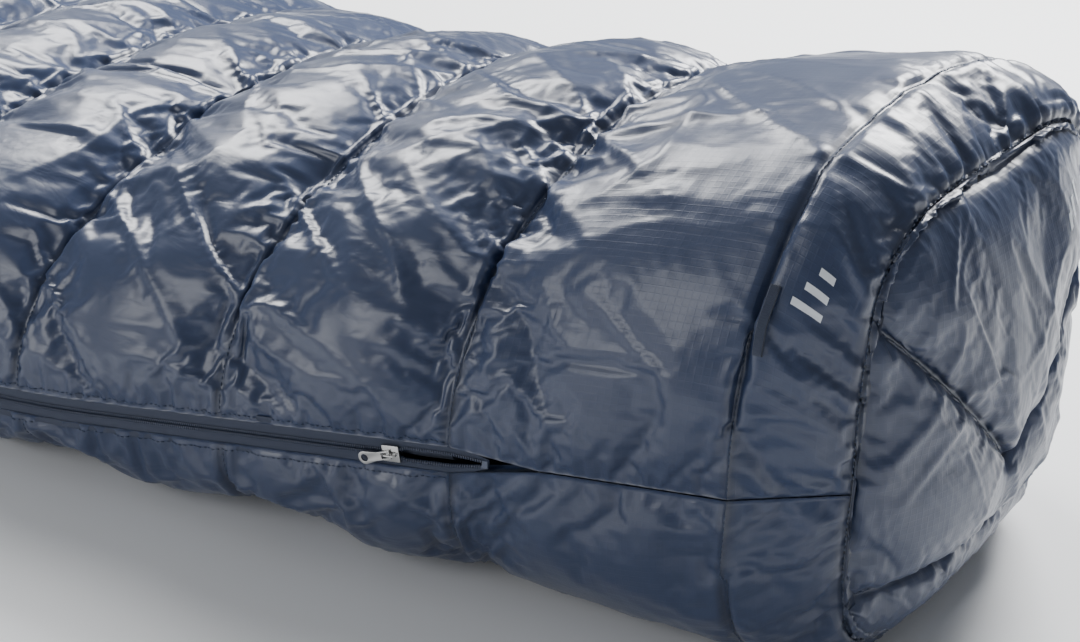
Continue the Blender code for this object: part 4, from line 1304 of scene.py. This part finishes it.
@dataclass
class Trim:
    """Neck binding, hang loops and printed marks."""

    form: BagForm
    hem_thickness: float = 10.8 * MM
    ink_height: float = 0.22 * MM
    ink_depth: float = 0.3 * MM
    ink_step: float = 1.2 * MM

    def hem(self, name: str, half: Half, columns: int, finish: bpy.types.Material) -> bpy.types.Object:
        """The bound neck edge: cloth folded round the ends of shell and lining."""
        zero = np.zeros(columns + 1)
        outer = self.form.half_ring(self.form.neck, half, columns, zero)
        inner = self.form.half_ring(self.form.neck, half, columns, zero + self.hem_thickness)
        wide = self.form.hem_width
        section = [(0.2 * MM, 0.0), (wide * 0.4, -0.12), (wide * 0.8, -0.06), (wide, 0.2),
                   (wide, 0.8), (wide * 0.8, 1.06), (wide * 0.4, 1.12), (0.2 * MM, 1.0)]
        at = np.linspace(0.0, 1.0, columns + 1)
        pinch = 0.05 * noise(at * 0.9, at, 8 * MM, 8 * MM, 31)
        rings = np.empty((columns + 1, len(section), 3))
        for number, (reach, share) in enumerate(section):
            swell = share + np.sign(share - 0.5) * pinch * (reach > 1 * MM)
            rings[:, number] = outer + (inner - outer) * swell[:, None]
            rings[:, number, 0] -= reach
        rings[..., 2] = rings[..., 2].clip(FLOOR_CLEARANCE)
        sizes = np.array([(0.0, s * 10 * MM) for _, s in section])
        uv = np.stack(np.broadcast_arrays(sizes[None, :, 1], at[:, None] * 0.9), axis=-1)
        return swept(name, rings, finish, uv)

    def strap(self, name: str, skin: Skin, row: int, columns: tuple[int, int],
              finish: bpy.types.Material) -> bpy.types.Object:
        """A flat loop sewn down at both ends, that follows a row of the skin.

        Args:
            name: The piece's name.
            skin: The outer skin that it lies on.
            row: The skin's row along its middle.
            columns: The first and last column it covers.
            finish: Its material.

        Returns:
            The closed strap.
        """
        start, end = columns
        out = normals_of(skin.shape)
        base = skin.shape[row, start:end + 1]
        kernel = np.ones(5) / 5
        padded = np.pad(base, ((2, 2), (0, 0)), mode="edge")
        soft = np.stack([np.convolve(padded[:, k], kernel, "valid") for k in range(3)], axis=1)
        up = -out[row, start:end + 1]
        up = np.mean(up, axis=0) / np.linalg.norm(np.mean(up, axis=0))
        run = np.gradient(soft, axis=0)
        run /= np.linalg.norm(run, axis=1, keepdims=True)
        side = np.cross(run, up)
        share = np.linspace(0.0, 1.0, len(soft))
        lift = 1.4 * MM + 1.6 * MM * np.sin(math.pi * share) ** 0.5
        rings = []
        for y, z in ((-3.0, -0.5), (-2.4, 0.5), (2.4, 0.5), (3.0, -0.5)):
            rings.append(soft + side * (y * MM) + up * (lift + z * MM)[:, None])
        rings = np.stack(rings, axis=1)
        uv = np.stack(np.broadcast_arrays(np.arange(4)[None] * 3 * MM, share[:, None] * 0.042), axis=-1)
        return swept(name, rings, finish, uv)

    def mark(self, name: str, skin: Skin, bars: Sequence[tuple[float, float, float, float]],
             sign: float, finish: bpy.types.Material) -> bpy.types.Object:
        """Plain printed bars that lie on the skin.

        Args:
            name: The piece's name.
            skin: The outer skin, with its normals read from its grid.
            bars: Each bar as (u, v, width, length) in the cloth's own metres.
            sign: 1 where the grid's normals face outwards, -1 where they face inwards.
            finish: Its ink.

        Returns:
            The closed bars in one piece.
        """
        out = normals_of(skin.shape) * sign
        points, faces = [], []
        for bar in bars:
            top, low = self.bar(skin, out, bar)
            offset = sum(len(p) for p in points)
            points += [top.reshape(-1, 3), low.reshape(-1, 3)]
            count = top.shape[0] * top.shape[1]
            index = np.arange(count).reshape(top.shape[:2]) + offset
            for grid in (index, index[:, ::-1] + count):
                faces += quads_of(grid).tolist()
            loop = [*index[0], *index[1:, -1], *index[-1, -2::-1], *index[-2:0:-1, 0]]
            for a, b in zip(loop, loop[1:] + loop[:1]):
                faces.append([int(a), int(b), int(b + count), int(a + count)])
        return mesh_piece(name, np.concatenate(points), faces, finish)

    def bar(self, skin: Skin, out: np.ndarray,
            size: tuple[float, float, float, float]) -> tuple[np.ndarray, np.ndarray]:
        """The upper and the lower face of one bar, as grids of points.

        Args:
            skin: The skin that it lies on.
            out: The skin's outward normals.
            size: The bar as (u, v, width, length).

        Returns:
            The two grids, just over the cloth and just under it.
        """
        u, v, wide, long = size
        across = np.linspace(u, u + wide, max(2, int(wide / self.ink_step) + 2))
        down = np.linspace(v, v + long, max(2, int(long / self.ink_step) + 2))
        top, low = np.empty((2, len(down), len(across), 3))
        flat_v = skin.uv[:, skin.uv.shape[1] // 2, 1]
        order = np.argsort(flat_v)
        for i, place in enumerate(down):
            row = float(np.interp(place, flat_v[order], order))
            r = min(int(row), len(flat_v) - 2)
            t = row - r
            line = skin.shape[r] * (1 - t) + skin.shape[r + 1] * t
            lift = out[r] * (1 - t) + out[r + 1] * t
            at = skin.uv[r, :, 0] * (1 - t) + skin.uv[r + 1, :, 0] * t
            for k in range(3):
                base = np.interp(across, at, line[:, k])
                rise = np.interp(across, at, lift[:, k])
                top[i, :, k] = base + rise * self.ink_height
                low[i, :, k] = base - rise * self.ink_depth
        return top, low


@dataclass
class Studio:
    """A pale floor, soft lamps and the camera."""

    azimuth: float = math.radians(37.5)
    elevation: float = math.radians(28.2)
    roll: float = 0.0125
    distance: float = 1.3477
    lens: float = 62.86
    behind_end: float = 0.3259
    aim_height: float = 0.0894

    def build(self, form: BagForm) -> None:
        """Makes the floor, the world, the lamps and the camera."""
        self.floor()
        self.world()
        self.lamp((0.60, 1.35, 1.35), (0.7, 0.0, 0.25), 0.9, 85.0)
        self.lamp((-1.3, 0.7, 1.7), (0.2, 0.0, 0.15), 1.0, 62.0)
        self.lamp((-0.4, -2.2, 1.1), (0.5, 0.0, 0.1), 1.3, 20.0)
        self.camera(form)

    def floor(self) -> None:
        """A wide pale floor just under the object."""
        bpy.ops.object.select_all(action="DESELECT")
        bpy.ops.mesh.primitive_plane_add(size=60.0, location=(0.0, 0.0, -0.5 * MM))
        item = bpy.context.active_object
        item.name = "studio_floor"
        material, tree, shader = blank_material("floor_paper")
        shader.inputs["Base Color"].default_value = (0.86, 0.87, 0.88, 1.0)
        shader.inputs["Roughness"].default_value = 0.9
        item.data.materials.append(material)

    def world(self) -> None:
        """Even white light from all round."""
        world = bpy.data.worlds.new("studio")
        world.use_nodes = True
        sky = world.node_tree.nodes["Background"]
        sky.inputs["Color"].default_value = (0.93, 0.96, 1.0, 1.0)
        sky.inputs["Strength"].default_value = 0.30
        bpy.context.scene.world = world

    def lamp(self, place: tuple, aim: tuple, size: float, power: float) -> None:
        """A square soft lamp at a place, turned to a point."""
        data = bpy.data.lights.new("softbox", "AREA")
        data.size = size
        data.energy = power
        item = bpy.data.objects.new("softbox", data)
        item.location = place
        item.rotation_mode = "QUATERNION"
        item.rotation_quaternion = (Vector(aim) - Vector(place)).to_track_quat("-Z", "Y")
        bpy.context.scene.collection.objects.link(item)

    def camera(self, form: BagForm) -> None:
        """The camera low at the foot end's near corner."""
        a, e = self.azimuth, self.elevation
        back = Vector((math.sin(a) * math.cos(e), -math.cos(a) * math.cos(e), math.sin(e)))
        right = Vector((math.cos(a), math.sin(a), 0.0))
        up = back.cross(right)
        c, s = math.cos(self.roll), math.sin(self.roll)
        place = Matrix((right * c + up * s, up * c - right * s, back)).transposed().to_4x4()
        aim = Vector((form.end_x - self.behind_end, 1.7 * MM, self.aim_height))
        place.translation = aim + back * self.distance
        data = bpy.data.cameras.new("camera")
        data.lens = self.lens
        item = bpy.data.objects.new("camera", data)
        item.matrix_world = place
        bpy.context.scene.collection.objects.link(item)
        bpy.context.scene.camera = item


class Assembly:
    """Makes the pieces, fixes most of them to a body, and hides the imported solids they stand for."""

    start = (-0.20, 0.0, 0.0)
    finish = (-0.75, 0.0, 0.0)

    def __init__(self, form: BagForm) -> None:
        """Makes every finish."""
        kit = NodeKit()
        deep, pale = (0.014, 0.026, 0.070), (0.027, 0.046, 0.106)
        self.form = form
        self.shell = ShinyCloth("shell_cloth", deep, pale, 0.34, Weave.PLAIN, 0.9 * MM).make(kit)
        self.foot = ShinyCloth("foot_cloth", deep, pale, 0.36, Weave.RIPSTOP, 0.5 * MM).make(kit)
        self.lining = ShinyCloth("lining_cloth", (0.05, 0.062, 0.10), (0.07, 0.085, 0.13), 0.5,
                                 Weave.PLAIN, 0.5 * MM, coat=0.1).make(kit)
        self.tape = TapeWeave("zip_tape", (0.010, 0.017, 0.040), (0.034, 0.050, 0.095)).make(kit)
        self.binding = TapeWeave("binding", (0.014, 0.022, 0.048), (0.026, 0.040, 0.078), 0.9 * MM).make(kit)
        self.coil = PlainFinish("zip_coil", (0.040, 0.055, 0.10), (0.085, 0.105, 0.165), 0.3,
                                coat=0.4).make(kit)
        self.thread = PlainFinish("thread", (0.030, 0.046, 0.090), (0.060, 0.082, 0.140), 0.55).make(kit)
        self.ink = PlainFinish("print", (0.66, 0.70, 0.76), (0.80, 0.83, 0.87), 0.5).make(kit)
        self.metal = PlainFinish("cast_metal", (0.36, 0.36, 0.36), (0.62, 0.62, 0.61), 0.17, 1.0,
                                 0.08 * MM, 700.0).make(kit)

    def over_joint(self, piece: bpy.types.Object, slot: str, *nodes: str) -> None:
        """Bakes a piece's placement into its mesh and hides the imported solids it stands for."""
        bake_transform(piece)
        if nodes:
            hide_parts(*nodes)
        log.info("%s follows %s and %s", piece.name, BASE, CHEST)

    def on(self, piece: bpy.types.Object, body: str, slot: str, *nodes: str) -> None:
        """Fixes a piece to one body."""
        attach(piece, body)
        if nodes:
            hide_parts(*nodes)
        log.info("%s rides on %s", piece.name, body)

    def skins(self) -> tuple[HalfSkin, HalfSkin]:
        """The padded panels of both sides."""
        form, recipe = self.form, ClothRecipe()
        top = HalfSkin(form, Half.TOP, 150, 14, 44, 40, 26, recipe, 11)
        bottom = HalfSkin(form, Half.BOTTOM, 100, 11, 32, 28, 18, recipe, 51)
        for skin in (top, bottom):
            skin.build()
            word = skin.half.name.lower()
            toe = skin.panel(f"toe_{word}_panel", 0, 1, self.foot, self.lining)
            self.on(toe, BASE, "foot_cloth", f"toe_{word}_shell", f"toe_{word}_fill")
            wall = skin.panel(f"foot_{word}_panel", 1, 2, self.foot, self.lining)
            self.on(wall, BASE, "foot_cloth", f"foot_{word}_shell", f"foot_{word}_fill")
        last = form.chambers + 2
        quilt = top.panel("top_quilt", 2, last, self.shell, self.lining)
        legs = [f"leg_top_fill_{index + 1}" for index in range(form.leg_chambers)]
        chest = [f"chest_top_fill_{index + 1}" for index in range(form.chambers - form.leg_chambers)]
        self.over_joint(quilt, "shell_cloth", "leg_top_shell", "leg_top_lining", "chest_top_shell",
                        "chest_top_lining", *legs, *chest)
        under = bottom.panel("bottom_quilt", 2, last, self.shell, self.lining)
        fills = [f"bottom_fill_{index + 1}" for index in range(form.chambers)]
        self.on(under, BASE, "shell_cloth", "bottom_shell", "bottom_lining", *fills)
        return top, bottom

    def end(self) -> EndPanel:
        """The end panel's three sections."""
        panel = EndPanel(self.form, ClothRecipe(ease=0.015, cap=16 * MM))
        panel.build()
        for number, word in enumerate(("lower", "middle", "upper")):
            piece = panel.section(f"end_{word}_panel", number, self.foot, self.lining)
            extra = {"lower": (), "middle": ("end_fill",), "upper": ("foot_lining",)}[word]
            self.on(piece, BASE, "foot_cloth", f"end_shell_{word}", *extra)
        return panel

    def stitches(self, top: HalfSkin, bottom: HalfSkin, end: EndPanel) -> None:
        """Thread along every seam."""
        sewing = Stitching(self.thread)
        for skin in (top, bottom):
            out = normals_of(skin.outer.shape) * -skin.half.value
            rows = [2 * row for row in skin.seam_rows[:-1]]
            lines = [(skin.outer.shape[row, 2:-2], out[row, 2:-2]) for row in rows]
            first = 2 * skin.seam_rows[2]
            lines.append((skin.outer.shape[first:, 2], out[first:, 2]))
            lines.append((skin.outer.shape[:, -3], out[:, -3]))
            piece = sewing.sew(f"{skin.half.name.lower()}_stitches", lines)
            if skin.half is Half.TOP:
                self.over_joint(piece, "binding")
            else:
                self.on(piece, BASE, "binding")
        self.on(sewing.sew("end_stitches", end.seam_lines()), BASE, "binding")

    def closures(self) -> None:
        """The zip with its sliders and pull tabs."""
        zipper = Zip(self.form)
        self.over_joint(zipper.tape("zip_tape_upper", 1, self.tape), "zip_tape",
                        "zip_tape_upper_leg", "zip_tape_upper_chest")
        self.on(zipper.tape("zip_tape_under", -1, self.tape), BASE, "zip_tape", "zip_tape_lower")
        self.over_joint(zipper.coil("zip_coil_upper", 1, self.coil), "zip_coil",
                        "zip_chain_upper_leg", "zip_chain_upper_chest")
        self.on(zipper.coil("zip_coil_under", -1, self.coil), BASE, "zip_coil", "zip_chain_lower")
        self.over_joint(zipper.draft_tube("draft_tube", self.lining), "lining_cloth",
                        "draft_tube_leg", "draft_tube_chest")
        for word in ("lower", "upper"):
            zipper.metal_piece(f"{word}_slider", f"{word}_slider", 0.3 * MM, self.metal)
            zipper.metal_piece(f"{word}_pull_tab", f"{word}_pull_tab", 0.35 * MM, self.metal)
        for node in ("zip_neck_stop_lower", "zip_neck_stop_upper", "neck_eyelet_near",
                     "neck_eyelet_far"):
            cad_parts[node].material_slots[0].material = self.metal
        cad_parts["zip_foot_stop"].material_slots[0].material = self.coil

    def trim(self, top: HalfSkin, end: EndPanel) -> None:
        """Neck binding, hang loops and printed marks."""
        trim = Trim(self.form)
        self.on(trim.hem("neck_binding_top", Half.TOP, 220, self.binding), CHEST, "binding", "neck_hem_top")
        self.on(trim.hem("neck_binding_bottom", Half.BOTTOM, 180, self.binding), BASE, "binding",
                "neck_hem_bottom")
        row = round(2 * top.toe_rows * 0.86)
        wide = 2 * top.columns
        spans = {"near": (44, 64), "far": (wide - 64, wide - 44)}
        for word, span in spans.items():
            loop = trim.strap(f"hang_strap_{word}", top.outer, row, span, self.binding)
            self.on(loop, BASE, "binding", f"hang_loop_{word}")
        shrinking = [(-0.178 + 0.010 * k, 0.022, 0.004, 0.016 - 0.004 * k) for k in range(3)]
        growing = [(0.052 + 0.009 * k, 0.222, 0.0035, 0.014 + 0.004 * k) for k in range(3)]
        for name, skin, bars in (("toe_mark", top.outer, shrinking), ("end_mark", end.outer, growing)):
            self.on(trim.mark(name, skin, bars, -1.0, self.ink), BASE, "foot_cloth")


def main() -> None:
    """Builds the whole bag and its studio."""
    logging.basicConfig(level=logging.INFO, format="%(message)s")
    form = BagForm()
    assembly = Assembly(form)
    top, bottom = assembly.skins()
    end = assembly.end()
    assembly.stitches(top, bottom, end)
    assembly.closures()
    assembly.trim(top, end)
    Studio().build(form)


if __name__ == "__main__":
    main()
